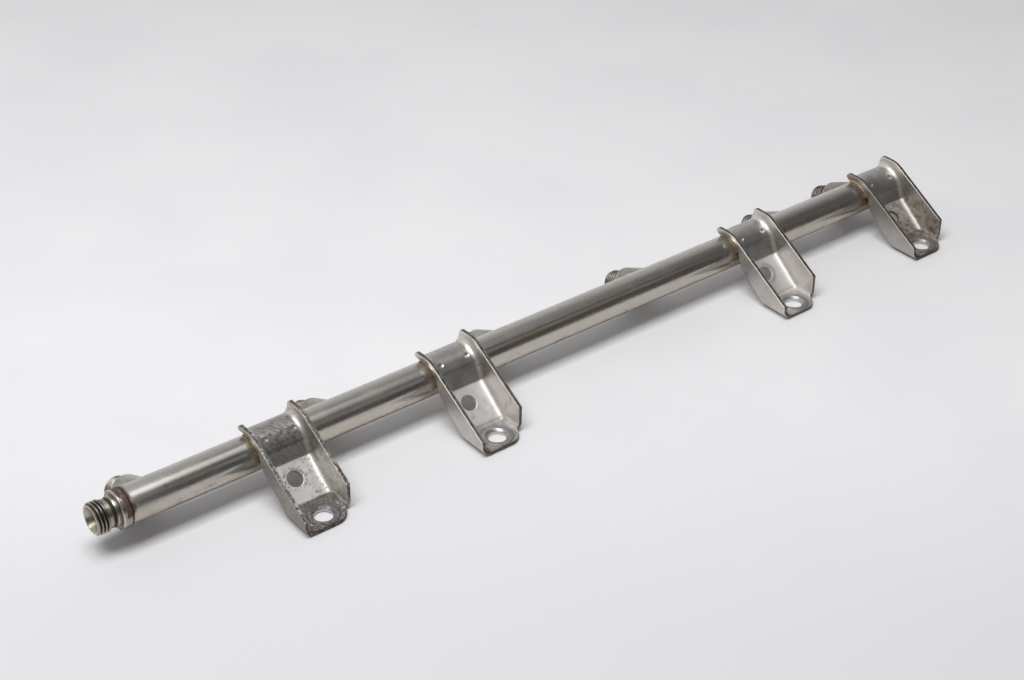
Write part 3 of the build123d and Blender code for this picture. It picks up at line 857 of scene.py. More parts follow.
def plug():
    a = np.linspace(0, 2 * math.pi, 112, endpoint=False)
    x0, x1 = TUBE_X1, TUBE_X1 + 1.1
    P = [(x, r, 0.0) for x, r in round_profile([((x0 - 6.0, 0.01), 0), ((x0 - 6.0, 6.0), 0.3), ((x0 + 0.0, 6.0), 0), ((x0 + 0.02, 7.4), 0.03),
                                               ((x1, 7.4), 0.35), ((x1, 6.6), 0.3), ((x1 - 0.35, 5.9), 0.4), ((x1 - 0.35, 0.01), 0)], 5)]
    P = [((x - 0.04 * bump_at(r, 3.0, 0.5) - (0.25 * math.cos(min(1, r / 1.4) * math.pi / 2) if r < 1.4 and x > x0 else 0)), r, m) for x, r, m in P]
    rows, m = lathe_x(P, a)
    v, f = rows_mesh(rows, close_rows=False)
    nr = rows.shape[0]
    nc = len(a)
    f = f + [tuple(range(nc))[::-1]] + [tuple((nr - 1) * nc + k for k in range(nc))]
    ob = make_object("end_plug_body", v, f)
    ob.data.set_sharp_from_angle(angle=math.radians(50))
    nz = fbm(v * 0.6, 3, 61.0)
    set_attr(ob, "w_cavity_shade", 0 * nz)
    set_attr(ob, "w_rust", np.clip(0.5 * smooth(6.6, 7.4, np.hypot(v[:, 1], v[:, 2])) * smooth(-0.3, 0.3, nz), 0, 1))
    set_attr(ob, "w_dirt_and_shade", np.clip(0.3 * smooth(0.0, 0.5, nz), 0, 1))
    return ob


def plug_braze():
    a = np.linspace(0, 2 * math.pi, 112, endpoint=False)
    c = np.stack([np.cos(a) * 1.5, np.sin(a) * 1.5, 0 * a], 1)
    hgt = 0.55 + 0.18 * fbm(c * 1.5, 3, 71.0)
    P = [(TUBE_X1 - 0.05, 7.3, 0), (TUBE_X1 - 0.05, 7.92, 0)]
    for t in np.linspace(0, 1, 6):
        P.append((TUBE_X1 + 0.0 + hgt * (t ** 1.8), 7.92 - 0.5 * t, 0))
    P.append((TUBE_X1 + hgt, 7.3, 0))
    rows, m = lathe_x(P, a)
    v, f = rows_mesh(rows)
    f = [q[::-1] for q in f]
    ob = make_object("plug_braze_ring", v, f, normals=weighted_normals(v, f))
    set_attr(ob, "w_toe", np.full(len(v), 0.55))
    return ob


def bend_r(x):
    return TUBE_R + BEND + T - np.sqrt(np.maximum((BEND + T) ** 2 - (np.abs(x) - (INNER - BEND)) ** 2, 0))


def side_braze(i, s):
    """fillet of braze in the wedge between the tube and one side of a saddle"""
    n = 110
    th = np.radians(np.linspace(58.5, 157.5, n))
    q = np.stack([th * 3.0, 0 * th + i * 2.3, 0 * th + s], 1)
    taper = smooth(0, 6, np.arange(n)) * smooth(0, 6, n - 1 - np.arange(n))
    xt = 12.05 + 0.40 * fbm(q, 3, 81.0) * taper - 0.8 * (1 - taper)
    xb = 11.75 + 0.22 * fbm(q, 3, 85.0) * taper - 0.5 * (1 - taper)
    rb = bend_r(xb)
    slope = (xb - (INNER - BEND)) / np.sqrt((BEND + T) ** 2 - (xb - (INNER - BEND)) ** 2)
    xc = xb - (rb - TUBE_R) / slope
    rows = []
    sec = [(xt, 0 * xt + TUBE_R - 0.10)]
    for t in np.linspace(0, 1, 9):
        sec.append(((1 - t) ** 2 * xt + 2 * t * (1 - t) * xc + t * t * xb,
                    (1 - t) ** 2 * (TUBE_R - 0.01) + 2 * t * (1 - t) * TUBE_R + t * t * (rb + 0.01)))
    sec.append((xb - 0.15, rb + 0.12))
    sec.append((0 * xb + 9.0, bend_r(9.0) + 0.08 + 0 * xb))
    sec.append((0 * xb + 9.0, 0 * xb + TUBE_R - 0.10))
    for x, r in sec:
        rows.append(np.stack([BR_X[i] + s * x, r * np.cos(th), r * np.sin(th)], 1))
    rows = np.stack(rows, 1)                       # stations x section
    v, f = rows_mesh(rows, close_rows=False)
    m = rows.shape[1]
    f = f + [tuple(range(m))[::-1], tuple((n - 1) * m + k for k in range(m))]
    if s > 0:
        f = [q[::-1] for q in f]
    side = "left" if s < 0 else "right"
    ob = make_object("bracket_%d_braze_%s" % (i + 1, side), v, f)
    toe = np.tile(np.array([1.0] + [1 - t for t in np.linspace(0, 1, 9)] + [0.0] * 3), n)
    set_attr(ob, "w_toe", toe)
    ob.data.set_sharp_from_angle(angle=math.radians(60))
    return ob


def rear_braze(i):
    """thin braze line along the saddle's rear edge"""
    n = 64
    xs = np.linspace(-11.4, 11.4, n)
    q = np.stack([xs * 0.5, 0 * xs + i * 3.3, 0 * xs], 1)
    taper = smooth(0, 5, np.arange(n)) * smooth(0, 5, n - 1 - np.arange(n))
    hgt = (0.75 + 0.3 * fbm(q, 3, 91.0)) * (0.3 + 0.7 * taper)
    wid = (1.0 + 0.4 * fbm(q, 3, 95.0)) * (0.3 + 0.7 * taper)
    base = np.where(np.abs(xs) > INNER - BEND, bend_r(xs), TUBE_R)
    hgt = np.where(base > TUBE_R + hgt, hgt * 0.6, hgt)
    sec = [(REAR + 0.02 + 0 * xs, TUBE_R + hgt * 0.9), (REAR + 0.02 + 0 * xs, TUBE_R - 0.1 + 0 * xs), (REAR - wid / TUBE_R, TUBE_R - 0.1 + 0 * xs)]
    for t in np.linspace(0, 1, 7):
        b = (1 - t) ** 2 * (REAR - wid / TUBE_R) + 2 * t * (1 - t) * REAR + t * t * (REAR - 0.005)
        r = (1 - t) ** 2 * (TUBE_R - 0.01) + 2 * t * (1 - t) * (TUBE_R + 0.05) + t * t * (TUBE_R + hgt)
        sec.append((b, r))
    rows = [np.stack([BR_X[i] + xs, r * np.cos(b), r * np.sin(b)], 1) for b, r in sec]
    rows = np.stack(rows, 1)
    v, f = rows_mesh(rows, close_rows=False)
    m = rows.shape[1]
    f = f + [tuple(range(m))[::-1], tuple((n - 1) * m + k for k in range(m))]
    ob = make_object("bracket_%d_braze_rear" % (i + 1), v, f)
    set_attr(ob, "w_toe", np.full(len(v), 0.55))
    ob.data.set_sharp_from_angle(angle=math.radians(60))
    return ob


# ----------------------------------------------------------------- materials
class Graph:
    """short hand for a node tree"""

    def __init__(self, name):
        self.mat = bpy.data.materials.new(name)
        self.mat.use_nodes = True
        self.t = self.mat.node_tree
        self.t.nodes.clear()
        self.out = self.t.nodes.new("ShaderNodeOutputMaterial")
        self.bsdf = self.t.nodes.new("ShaderNodeBsdfPrincipled")
        self.t.links.new(self.bsdf.outputs[0], self.out.inputs[0])
        co = self.t.nodes.new("ShaderNodeTexCoord")
        s = self.t.nodes.new("ShaderNodeVectorMath")
        s.operation = "MULTIPLY_ADD"
        self.t.links.new(co.outputs["Object"], s.inputs[0])
        s.inputs[1].default_value = (1000, 1000, 1000)
        s.inputs[2].default_value = (-OX, -OY, -OZ)
        self.mm = s.outputs[0]                  # millimetres from the tube's axis

    def node(self, kind, **kw):
        n = self.t.nodes.new(kind)
        for k, v in kw.items():
            setattr(n, k, v)
        return n

    def link(self, a, b):
        self.t.links.new(a, b)

    def put(self, sock, v):
        if hasattr(v, "is_output"):
            self.link(v, sock)
        else:
            sock.default_value = v

    def math(self, op, a, b=0.0, c=None, clamp=False):
        n = self.node("ShaderNodeMath", operation=op, use_clamp=clamp)
        self.put(n.inputs[0], a)
        self.put(n.inputs[1], b)
        if c is not None:
            self.put(n.inputs[2], c)
        return n.outputs[0]

    def scale(self, v, s):
        n = self.node("ShaderNodeVectorMath", operation="MULTIPLY")
        self.put(n.inputs[0], v)
        n.inputs[1].default_value = s
        return n.outputs[0]

    def noise(self, vec, scale, detail=3.0, rough=0.55, distort=0.0):
        n = self.node("ShaderNodeTexNoise")
        self.put(n.inputs["Vector"], vec)
        n.inputs["Scale"].default_value = scale
        n.inputs["Detail"].default_value = detail
        n.inputs["Roughness"].default_value = rough
        n.inputs["Distortion"].default_value = distort
        return n.outputs["Fac"]

    def remap(self, v, a, b, c=0.0, d=1.0, smooth=True):
        n = self.node("ShaderNodeMapRange", interpolation_type="SMOOTHSTEP" if smooth else "LINEAR")
        self.put(n.inputs["Value"], v)
        for k, x in zip(("From Min", "From Max", "To Min", "To Max"), (a, b, c, d)):
            n.inputs[k].default_value = x
        return n.outputs["Result"]

    def attr(self, name):
        return self.node("ShaderNodeAttribute", attribute_name=name, attribute_type="GEOMETRY").outputs["Fac"]

    def mix(self, f, a, b, mode="MIX"):
        n = self.node("ShaderNodeMix", data_type="RGBA", blend_type=mode)
        self.put(n.inputs["Factor"], f)
        for s, v in ((n.inputs[6], a), (n.inputs[7], b)):
            if hasattr(v, "is_output"):
                self.link(v, s)
            else:
                s.default_value = (*v, 1.0)
        return n.outputs[2]

    def mixf(self, f, a, b):
        n = self.node("ShaderNodeMix", data_type="FLOAT")
        self.put(n.inputs["Factor"], f)
        self.put(n.inputs[2], a)
        self.put(n.inputs[3], b)
        return n.outputs[0]

    def xyz(self):
        n = self.node("ShaderNodeSeparateXYZ")
        self.link(self.mm, n.inputs[0])
        return n.outputs

    def bump(self, height, dist_mm, strength=1.0):
        n = self.node("ShaderNodeBump")
        n.inputs["Strength"].default_value = strength
        n.inputs["Distance"].default_value = dist_mm * MM
        self.link(height, n.inputs["Height"])
        return n.outputs[0]

    def finish(self, color, rough, height=None, dist=0.02, metallic=1.0, strength=1.0):
        b = self.bsdf
        self.put(b.inputs["Base Color"], color if hasattr(color, "is_output") else (*color, 1))
        self.put(b.inputs["Roughness"], rough)
        self.put(b.inputs["Metallic"], metallic)
        if height is not None:
            self.link(self.bump(height, dist, strength), b.inputs["Normal"])
        return self.mat


STEEL = (0.485, 0.462, 0.430)
STEEL_LIGHT = (0.60, 0.58, 0.55)
STEEL_DARK = (0.31, 0.29, 0.265)
SCALE_AND_SHADE_DARK = (0.075, 0.062, 0.052)
RUST = (0.135, 0.075, 0.048)
TAN = (0.36, 0.285, 0.205)


def tube_material():
    g = Graph("tube_drawn_steel")
    ax = g.xyz()
    ang = g.math("ARCTAN2", ax[2], ax[1])                         # round the tube from +Y
    streak_v = g.scale(g.mm, (0.018, 1.0, 1.0))
    s1 = g.noise(streak_v, 0.55, 3, 0.6)
    s2 = g.noise(streak_v, 2.4, 3, 0.6)
    s3 = g.noise(g.scale(g.mm, (0.05, 1.0, 1.0)), 7.0, 2, 0.6)
    blotch = g.noise(g.mm, 0.07, 4, 0.62, 0.4)
    blotch2 = g.noise(g.mm, 0.33, 4, 0.65, 0.3)
    fine = g.noise(g.mm, 2.2, 3, 0.6)
    col = g.mix(g.remap(s1, 0.30, 0.72), (0.500, 0.480, 0.455), (0.565, 0.548, 0.522))
    col = g.mix(g.math("MULTIPLY", g.remap(s2, 0.5, 0.75), 0.25), col, (0.62, 0.60, 0.57))
    col = g.mix(g.math("MULTIPLY", g.remap(blotch, 0.42, 0.66), 0.40), col, (0.53, 0.475, 0.405))
    col = g.mix(g.math("MULTIPLY", g.remap(blotch2, 0.52, 0.70), 0.30), col, (0.40, 0.375, 0.345))
    # straw heat tint in a line along the front of the tube
    amber = g.math("MULTIPLY", g.remap(g.math("ABSOLUTE", g.math("SUBTRACT", ang, math.radians(141.5))), math.radians(9.5), math.radians(2.0)),
                   g.remap(g.noise(g.scale(g.mm, (0.02, 0.3, 0.3)), 1.5, 3, 0.6), 0.32, 0.52))
    near = g.remap(ax[0], 90.0, 130.0)
    amber = g.math("MULTIPLY", amber, g.mixf(near, 0.28, 0.95))
    amber = g.math("MULTIPLY", amber, g.remap(ax[0], 318.0, 262.0, 0.35, 1.0))
    col = g.mix(g.math("MULTIPLY", amber, 0.8), col, (0.46, 0.325, 0.200))
    # dark stains, most of them low on the near side
    low = g.remap(ax[2], -0.5, -4.5)
    front = g.remap(ax[1], -2.0, -5.0)
    lowf = g.math("MULTIPLY", low, front)
    st = g.math("MULTIPLY", g.remap(blotch2, 0.53, 0.66), lowf)
    st = g.math("MULTIPLY", st, g.remap(ax[0], 60.0, -10.0, 0.35, 0.85))
    col = g.mix(g.math("MULTIPLY", st, 0.8), col, (0.20, 0.155, 0.115))
    lower = g.math("MULTIPLY", g.remap(ax[2], 3.0, -2.0), front)
    col = g.mix(g.math("MULTIPLY", lower, 0.6), col, (0.515, 0.450, 0.375))
    tan = g.math("MULTIPLY", g.remap(g.noise(g.mm, 0.14, 3, 0.6), 0.46, 0.62), g.math("MULTIPLY", lowf, 0.70))
    col = g.mix(tan, col, TAN)
    speck = g.remap(g.noise(g.mm, 1.1, 2, 0.7), 0.665, 0.75)
    col = g.mix(g.math("MULTIPLY", speck, 0.60), col, (0.12, 0.10, 0.085))
    dust = g.math("MULTIPLY", g.remap(g.noise(g.mm, 3.6, 2, 0.6), 0.50, 0.68), g.remap(blotch, 0.30, 0.60, 0.25, 0.75))
    col = g.mix(g.math("MULTIPLY", dust, 0.38), col, (0.27, 0.24, 0.205))
    joint = g.attr("w_joint")
    col = g.mix(g.math("MULTIPLY", joint, g.remap(blotch2, 0.25, 0.6)), col, (0.56, 0.475, 0.345))
    mark = g.attr("w_mark")
    col = g.mix(mark, col, (0.14, 0.115, 0.095))
    rust = g.attr("w_rust")
    col = g.mix(rust, col, g.mix(g.remap(fine, 0.38, 0.62), (0.050, 0.031, 0.026), (0.145, 0.092, 0.075)))
    r = g.mixf(g.remap(s1, 0.3, 0.7), 0.19, 0.25)
    r = g.math("ADD", r, g.math("MULTIPLY", g.remap(blotch, 0.45, 0.7), 0.07))
    r = g.math("ADD", r, g.math("MULTIPLY", st, 0.18))
    r = g.math("ADD", r, g.remap(ax[0], -36.0, -62.0, 0.0, 0.13))
    r = g.math("ADD", r, g.math("MULTIPLY", rust, 0.30))
    r = g.math("ADD", r, g.math("MULTIPLY", joint, 0.08), clamp=True)
    h = g.math("ADD", g.math("MULTIPLY", s3, 0.18), g.math("MULTIPLY", fine, g.mixf(rust, 0.22, 5.0)))
    h = g.math("ADD", h, g.math("MULTIPLY", s2, 0.25))
    metal = g.math("SUBTRACT", 1.0, g.math("MULTIPLY", rust, 0.65))
    return g.finish(col, r, h, 0.007, metal)


def sheet_material():
    g = Graph("bracket_pressed_steel")
    big = g.noise(g.mm, 0.11, 4, 0.6, 0.3)
    mid = g.noise(g.mm, 0.55, 4, 0.62, 0.2)
    fine = g.noise(g.mm, 2.6, 3, 0.65)
    grain = g.noise(g.mm, 9.0, 2, 0.6)
    dark, rust, warm = g.attr("w_dirt_and_shade"), g.attr("w_rust"), g.attr("w_warm")
    edge, painted_glint, grey, amber = g.attr("w_edge"), g.attr("w_painted_glint"), g.attr("w_grey"), g.attr("w_amber")
    sad, web, painted_highlight = g.attr("w_saddle_shade"), g.attr("w_web_lit"), g.attr("w_painted_highlight")
    col = g.mix(g.remap(big, 0.34, 0.66), (0.585, 0.562, 0.530), (0.690, 0.670, 0.640))
    col = g.mix(g.math("MULTIPLY", g.remap(mid, 0.5, 0.72), 0.26), col, (0.40, 0.375, 0.34))
    col = g.mix(g.math("MULTIPLY", g.remap(fine, 0.58, 0.74), 0.22), col, STEEL_LIGHT)
    # painted shade: darker copy of the steel on the saddle and the left flange's outer face
    col = g.mix(g.math("MULTIPLY", sad, 0.85), col, g.mix(g.remap(big, 0.36, 0.64), (0.395, 0.382, 0.372), (0.500, 0.486, 0.468)))
    # painted light: a lighter, less metallic copy of the steel on the web
    col = g.mix(g.math("MULTIPLY", web, g.remap(big, 0.3, 0.6, 0.55, 0.95)), col, (0.77, 0.755, 0.735))
    col = g.mix(g.math("MULTIPLY", warm, 0.55), col, (0.575, 0.500, 0.405))
    # painted highlight on the web-to-flange and saddle fillets
    col = g.mix(g.math("MULTIPLY", painted_highlight, 0.9), col, (0.97, 0.96, 0.945))
    # every face carries a few brown freckles
    freck = g.math("MULTIPLY", g.remap(fine, 0.66, 0.74), g.remap(mid, 0.48, 0.60))
    col = g.mix(g.math("MULTIPLY", freck, 0.5), col, (0.17, 0.125, 0.09))
    col = g.mix(g.math("MULTIPLY", grey, 0.85), col, (0.335, 0.345, 0.352))
    col = g.mix(edge, col, g.mix(g.remap(mid, 0.35, 0.65), (0.085, 0.074, 0.064), (0.21, 0.19, 0.17)))
    # painted glint along the cut edges
    col = g.mix(g.math("MULTIPLY", painted_glint, 0.75), col, (0.76, 0.74, 0.71))
    col = g.mix(g.math("MULTIPLY", rust, g.remap(mid, 0.30, 0.62, 0.35, 1.0)), col, (0.235, 0.165, 0.115))
    # dirt and scale, together with the painted shade of creases, corners, the pad's rim and the web hole
    col = g.mix(g.math("MULTIPLY", dark, g.remap(fine, 0.32, 0.62, 0.55, 1.0)), col, SCALE_AND_SHADE_DARK)
    col = g.mix(amber, col, (0.62, 0.35, 0.09))
    r = g.mixf(g.remap(big, 0.35, 0.65), 0.41, 0.49)
    r = g.mixf(sad, r, 0.34)
    r = g.mixf(painted_highlight, r, 0.46)
    r = g.math("ADD", r, g.math("MULTIPLY", edge, 0.14))
    r = g.math("SUBTRACT", r, g.math("MULTIPLY", painted_glint, 0.08))
    r = g.math("ADD", r, g.math("MULTIPLY", dark, 0.24))
    r = g.math("ADD", r, g.math("MULTIPLY", rust, 0.14), clamp=True)
    h = g.math("ADD", g.math("MULTIPLY", fine, g.mixf(dark, 0.6, 1.5)), g.math("MULTIPLY", grain, 0.30))
    h = g.math("ADD", h, g.math("MULTIPLY", mid, g.mixf(edge, 1.2, 4.0)))
    metal = g.math("SUBTRACT", 1.0, g.math("MULTIPLY", dark, 0.35))
    metal = g.math("SUBTRACT", metal, g.math("MULTIPLY", web, 0.22), clamp=True)
    return g.finish(col, r, h, 0.016, metal)


def fitting_material():
    g = Graph("fitting_turned_steel")
    ax = g.xyz()
    big = g.noise(g.mm, 0.22, 4, 0.6, 0.2)
    mid = g.noise(g.mm, 0.8, 4, 0.62)
    fine = g.noise(g.mm, 3.0, 3, 0.65)
    cavity_shade, rust, dark = g.attr("w_cavity_shade"), g.attr("w_rust"), g.attr("w_dirt_and_shade")
    col = g.mix(g.remap(big, 0.35, 0.66), (0.33, 0.300, 0.258), (0.47, 0.44, 0.395))
    # warm tint on the inlet's cone and neck, with a painted golden reflection on the cone's lower side
    col = g.mix(g.math("MULTIPLY", g.attr("w_gold_tint_and_reflection"), 0.8), col, (0.60, 0.525, 0.375))
    col = g.mix(g.math("MULTIPLY", g.remap(mid, 0.52, 0.72), 0.35), col, STEEL_DARK)
    # painted shade in grooves, corners and bores
    col = g.mix(g.math("MULTIPLY", g.remap(cavity_shade, 0.15, 0.80), 0.95), col, (0.050, 0.043, 0.036))
    # dirt and scale, with the inlet's painted shade on the thread top and in the bore
    col = g.mix(g.math("MULTIPLY", dark, g.remap(fine, 0.35, 0.6, 0.5, 1.0)), col, SCALE_AND_SHADE_DARK)
    # painted glint on edges and rings, also made less metallic below so it stays bright
    col = g.mix(g.math("MULTIPLY", g.attr("w_painted_glint"), 0.8), col, (0.86, 0.84, 0.81))
    col = g.mix(g.math("MULTIPLY", rust, g.remap(mid, 0.25, 0.5, 0.65, 1.0)), col, g.mix(g.remap(fine, 0.38, 0.62), (0.050, 0.031, 0.026), (0.145, 0.092, 0.075)))
    r = g.mixf(g.remap(mid, 0.35, 0.65), 0.22, 0.33)
    r = g.math("ADD", r, g.math("MULTIPLY", cavity_shade, 0.28))
    r = g.math("ADD", r, g.math("MULTIPLY", rust, 0.30))
    r = g.math("ADD", r, g.math("MULTIPLY", dark, 0.15), clamp=True)
    h = g.math("ADD", g.math("MULTIPLY", fine, g.mixf(rust, 0.6, 3.0)), g.math("MULTIPLY", mid, 1.0))
    metal = g.math("SUBTRACT", 1.0, g.math("MULTIPLY", rust, 0.55))
    metal = g.math("SUBTRACT", metal, g.math("MULTIPLY", g.remap(g.attr("w_painted_glint"), 0.72, 0.95), 0.65), clamp=True)
    return g.finish(col, r, h, 0.014, metal)


def braze_material(name, c1, c2, rough, edge=(0.30, 0.75)):
    g = Graph(name)
    big = g.noise(g.mm, 0.35, 4, 0.65, 0.3)
    fine = g.noise(g.mm, 2.0, 3, 0.65)
    toe = g.remap(g.attr("w_toe"), *edge)
    col = g.mix(toe, (0.50, 0.465, 0.41), g.mix(g.remap(big, 0.35, 0.65), c1, c2))
    col = g.mix(g.math("MULTIPLY", g.remap(fine, 0.56, 0.7), 0.45), col, (0.12, 0.09, 0.068))
    r = g.mixf(big, rough, rough + 0.16)
    h = g.math("ADD", g.math("MULTIPLY", fine, 1.2), g.math("MULTIPLY", big, 3.0))
    return g.finish(col, r, h, 0.03, 0.9)


# ------------------------------------------------------------------ assembly
BODY = list(frame["bodies"])[0]
M_TUBE, M_SHEET, M_FIT = tube_material(), sheet_material(), fitting_material()
M_COPPER = braze_material("braze_copper", (0.43, 0.215, 0.090), (0.58, 0.37, 0.19), 0.34, (0.62, 0.92))
M_BROWN = braze_material("braze_brown", (0.20, 0.135, 0.085), (0.36, 0.27, 0.18), 0.36)
M_RUSTY = braze_material("braze_oxide", (0.055, 0.031, 0.024), (0.14, 0.082, 0.060), 0.60)


def fit_in(ob, mat, slot, *nodes):
    ob.data.materials.clear()
    ob.data.materials.append(mat)
    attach(ob, BODY)
    if nodes:
        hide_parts(*nodes)
    return ob


def paint_tube(ob):
    n = len(ob.data.vertices)
    co = np.empty(n * 3)
    ob.data.vertices.foreach_get("co", co)
    p = co.reshape(-1, 3) / MM - (OX, OY, OZ)
    x, y, z = p.T
    ang = np.degrees(np.arctan2(z, y)) % 360
    c, s = np.cos(np.radians(ang)), np.sin(np.radians(ang))
    q = np.stack([x * 0.4, c * 3.2, s * 3.2], 1)
    nz = fbm(q, 3, 101.0)
    nz2 = fbm(q * 2.6, 3, 103.0)
    edge = -67.15 + 1.2 * nz + 0.35 * nz2 + 0.3 * bump_at(ang, 112, 14) + 0.5 * bump_at(ang, 150, 10) - 0.6 * bump_at(ang, 132, 7) - 1.2 * smooth(160, 178, ang)
    rust = smooth(0.25, -0.3, x - edge) * (0.55 + 0.45 * smooth(-0.5, 0.1, nz2 + 0.35 * bump_at(ang, 130, 60)))
    rust = rust * (0.15 + 0.85 * smooth(183, 171, ang + 6 * nz))
    joint = np.zeros(n)
    for bx in BR_X:
        for sd in (-1, 1):
            d = sd * (x - bx) - 11.4
            joint = np.maximum(joint, smooth(5.5, 0.3, d) * (d > -3) * 0.75)
    for ox in OUT_X:
        d = np.hypot(x - ox, 8 * np.radians(((ang - (360 - 24.4) + 180) % 360) - 180)) - 9.2
        joint = np.maximum(joint, smooth(3.0, 0, d) * 0.6)
    mark = np.zeros(n)
    # (x, angle, length, width, strength) of single dark marks
    for mx, ma, lx, la, k in ((-52.5, 134, 1.1, 7, 0.55), (-36.0, 187, 4.6, 4.0, 0.75), (-47.0, 189, 3.0, 2.6, 0.4),
                              (122.0, 186, 1.0, 4, 0.6), (65.0, 186, 1.8, 3, 0.5), (338.5, 140, 2.0, 14, 0.35), (170.0, 128, 1.4, 4, 0.35)):
        mark = np.maximum(mark, k * np.exp(-((x - mx) / lx) ** 2 - ((ang - ma) / la) ** 2) * smooth(-0.5, 0.2, nz2))
    set_attr(ob, "w_rust", np.clip(rust, 0, 1))
    set_attr(ob, "w_joint", np.clip(joint * smooth(-0.7, 0.2, nz), 0, 1))
    set_attr(ob, "w_mark", np.clip(mark, 0, 1))


t_ob = tube()
paint_tube(t_ob)
fit_in(t_ob, M_TUBE, "tube_steel", "rail_tube")
fit_in(inlet(), M_FIT, "fitting_steel", "inlet_fitting")
fit_in(inlet_braze(), M_RUSTY, "fitting_steel")
fit_in(plug(), M_FIT, "fitting_steel", "end_plug")
fit_in(plug_braze(), M_BROWN, "fitting_steel")
for k in range(6):
    ob, node = outlet(k)
    fit_in(ob, M_FIT, "fitting_steel", node)
for i in range(4):
    ob, node = bracket(i)
    fit_in(ob, M_SHEET, "bracket_steel", node)
    for s in (-1, 1):
        fit_in(side_braze(i, s), M_COPPER if (i == 3 and s < 0) else M_BROWN, "bracket_steel")
    fit_in(rear_braze(i), M_BROWN, "bracket_steel")

# --------------------------------------------------------------------- stage
floor_me = bpy.data.meshes.new("floor")
F = 6.0
floor_me.from_pydata([(-F, -F, 0), (F, -F, 0), (F, F, 0), (-F, F, 0)], [], [(0, 1, 2, 3)])
floor = bpy.data.objects.new("floor", floor_me)
bpy.context.scene.collection.objects.link(floor)
fg = Graph("floor_pale")
fcol = fg.mix(fg.remap(fg.noise(fg.mm, 0.012, 3, 0.5), 0.3, 0.7), (0.795, 0.790, 0.800), (0.825, 0.820, 0.828))
fxyz = fg.xyz()
# painted shade: the floor darkens towards the camera, standing in for the light falling off
depth_for_painted_falloff = fg.math("ADD", fg.math("MULTIPLY", fg.math("ADD", fxyz[0], OX), 0.627), fg.math("MULTIPLY", fg.math("ADD", fxyz[1], OY), 0.779))
fcol = fg.mix(fg.remap(depth_for_painted_falloff, 10.0, -230.0), fcol, (0.675, 0.668, 0.680))
fg.finish(fcol, 0.70, None, metallic=0.0)
floor_me.materials.append(fg.mat)

world = bpy.data.worlds.new("studio")
bpy.context.scene.world = world
world.use_nodes = True
wt = world.node_tree
wt.nodes.clear()


def wn(kind, **kw):
    n = wt.nodes.new(kind)
    for k, v in kw.items():
        setattr(n, k, v)
    return n


wo = wn("ShaderNodeOutputWorld")
wb = wn("ShaderNodeBackground")
wt.links.new(wb.outputs[0], wo.inputs[0])
wc = wn("ShaderNodeTexCoord")
wsep = wn("ShaderNodeSeparateXYZ")
wt.links.new(wc.outputs["Generated"], wsep.inputs[0])


def wmath(op, a, b=0.0, clamp=False):
    n = wn("ShaderNodeMath", operation=op, use_clamp=clamp)
    for s, v in ((n.inputs[0], a), (n.inputs[1], b)):
        if hasattr(v, "is_output"):
            wt.links.new(v, s)
        else:
            s.default_value = v
    return n.outputs[0]


# brightness by how far the direction turns from the front (-Y) horizon, over the top, to the back
wang = wmath("ARCTAN2", wsep.outputs[2], wsep.outputs[1])          # 0 back, pi/2 up, pi front
wfac = wmath("DIVIDE", wang, math.pi, clamp=True)
ramp = wn("ShaderNodeValToRGB")
wt.links.new(wfac, ramp.inputs[0])
cr = ramp.color_ramp
cr.interpolation = "LINEAR"
stops = [(0.0, 0.85), (0.18, 0.66), (0.31, 0.49), (0.417, 0.28), (0.517, 0.165), (0.603, 0.13), (0.694, 0.125), (0.778, 0.125), (0.861, 0.095), (1.0, 0.09)]
while len(cr.elements) > 1:
    cr.elements.remove(cr.elements[0])
cr.elements[0].position = stops[0][0]
cr.elements[0].color = (stops[0][1],) * 3 + (1,)
for p, v in stops[1:]:
    e = cr.elements.new(p)
    e.color = (v * 0.995, v * 0.99, v * 1.0, 1)
wt.links.new(ramp.outputs[0], wb.inputs[0])
wb.inputs[1].default_value = 1.0


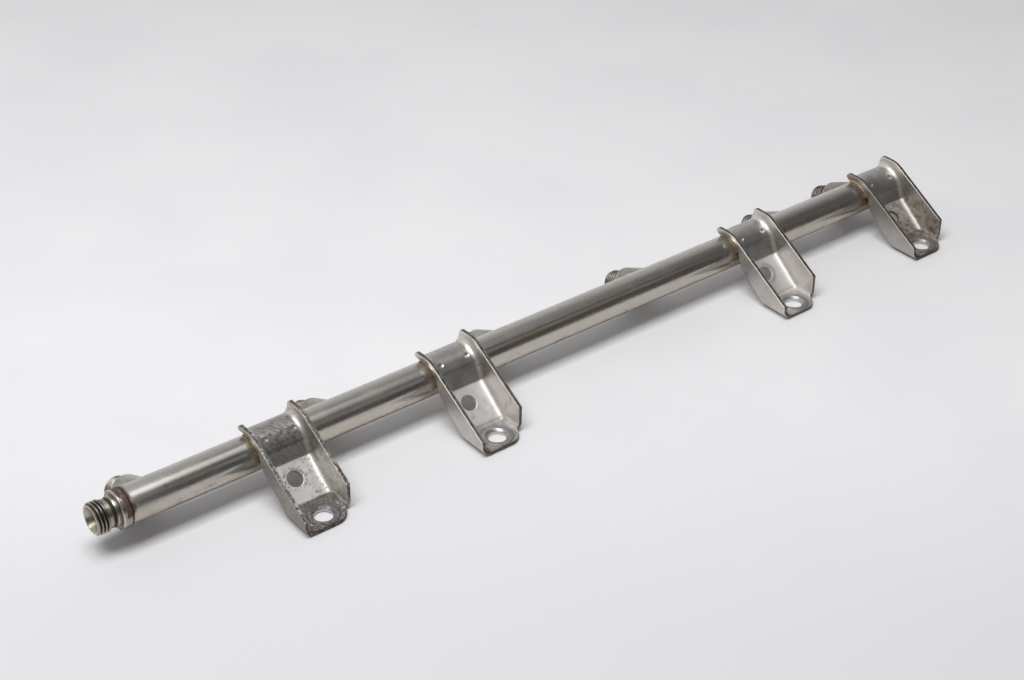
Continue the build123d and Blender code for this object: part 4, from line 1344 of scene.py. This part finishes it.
def area(name, loc, size, power, target=(0, 0, 0), color=(1, 1, 1)):
    li = bpy.data.lights.new(name, "AREA")
    li.shape = "RECTANGLE"
    li.size, li.size_y = size
    li.energy = power
    li.color = color
    ob = bpy.data.objects.new(name, li)
    ob.location = loc
    ob.rotation_euler = (Vector(target) - Vector(loc)).to_track_quat("-Z", "Y").to_euler()
    bpy.context.scene.collection.objects.link(ob)
    return ob


area("key_softbox", (-0.49, -0.08, 1.30), (1.14, 0.58), 17.0, (-0.49, -0.08, 0.0), (0.985, 0.99, 1.0))
area("key_edge_a", (0.18, -0.08, 1.30), (0.20, 0.58), 0.17, (0.18, -0.08, 0.0), (0.97, 0.97, 1.0))
area("key_edge_b", (0.37, -0.08, 1.30), (0.18, 0.56), 0.30, (0.37, -0.08, 0.0), (0.97, 0.97, 1.0))
area("key_edge_c", (0.55, -0.08, 1.30), (0.18, 0.58), 0.11, (0.55, -0.08, 0.0), (0.97, 0.98, 1.0))
area("key_edge_d", (0.77, -0.08, 1.30), (0.26, 0.58), 0.07, (0.77, -0.08, 0.0), (0.97, 0.98, 1.0))
area("key_skirt", (0.45, -0.48, 1.30), (1.20, 0.22), 0.17, (0.45, -0.48, 0.0), (0.97, 0.98, 1.0))
area("front_fill", (0.68, -1.06, 0.95), (0.75, 0.38), 0.19, (0.0, 0.0, 0.03), (1.0, 0.99, 0.98))

cam = bpy.data.cameras.new("camera")
cam.sensor_width = 36.0
cam.lens = 71.15
cam.clip_start, cam.clip_end = 0.05, 50.0
cam_ob = bpy.data.objects.new("camera", cam)
th, el, ro = math.radians(38.83), math.radians(32.73), math.radians(-0.64)
cR = np.array([math.cos(th), -math.sin(th), 0])
cU = np.array([math.sin(th) * math.sin(el), math.cos(th) * math.sin(el), math.cos(el)])
cF = np.array([math.sin(th) * math.cos(el), math.cos(th) * math.cos(el), -math.sin(el)])
right = math.cos(ro) * cR - math.sin(ro) * cU
up = math.sin(ro) * cR + math.cos(ro) * cU
m = Matrix(((right[0], up[0], -cF[0], -0.48574), (right[1], up[1], -cF[1], -0.573296),
            (right[2], up[2], -cF[2], 0.49725), (0, 0, 0, 1)))
cam_ob.matrix_world = m
bpy.context.scene.collection.objects.link(cam_ob)
bpy.context.scene.camera = cam_ob
bpy.context.scene.view_settings.view_transform = "Standard"
bpy.context.scene.view_settings.look = "None"
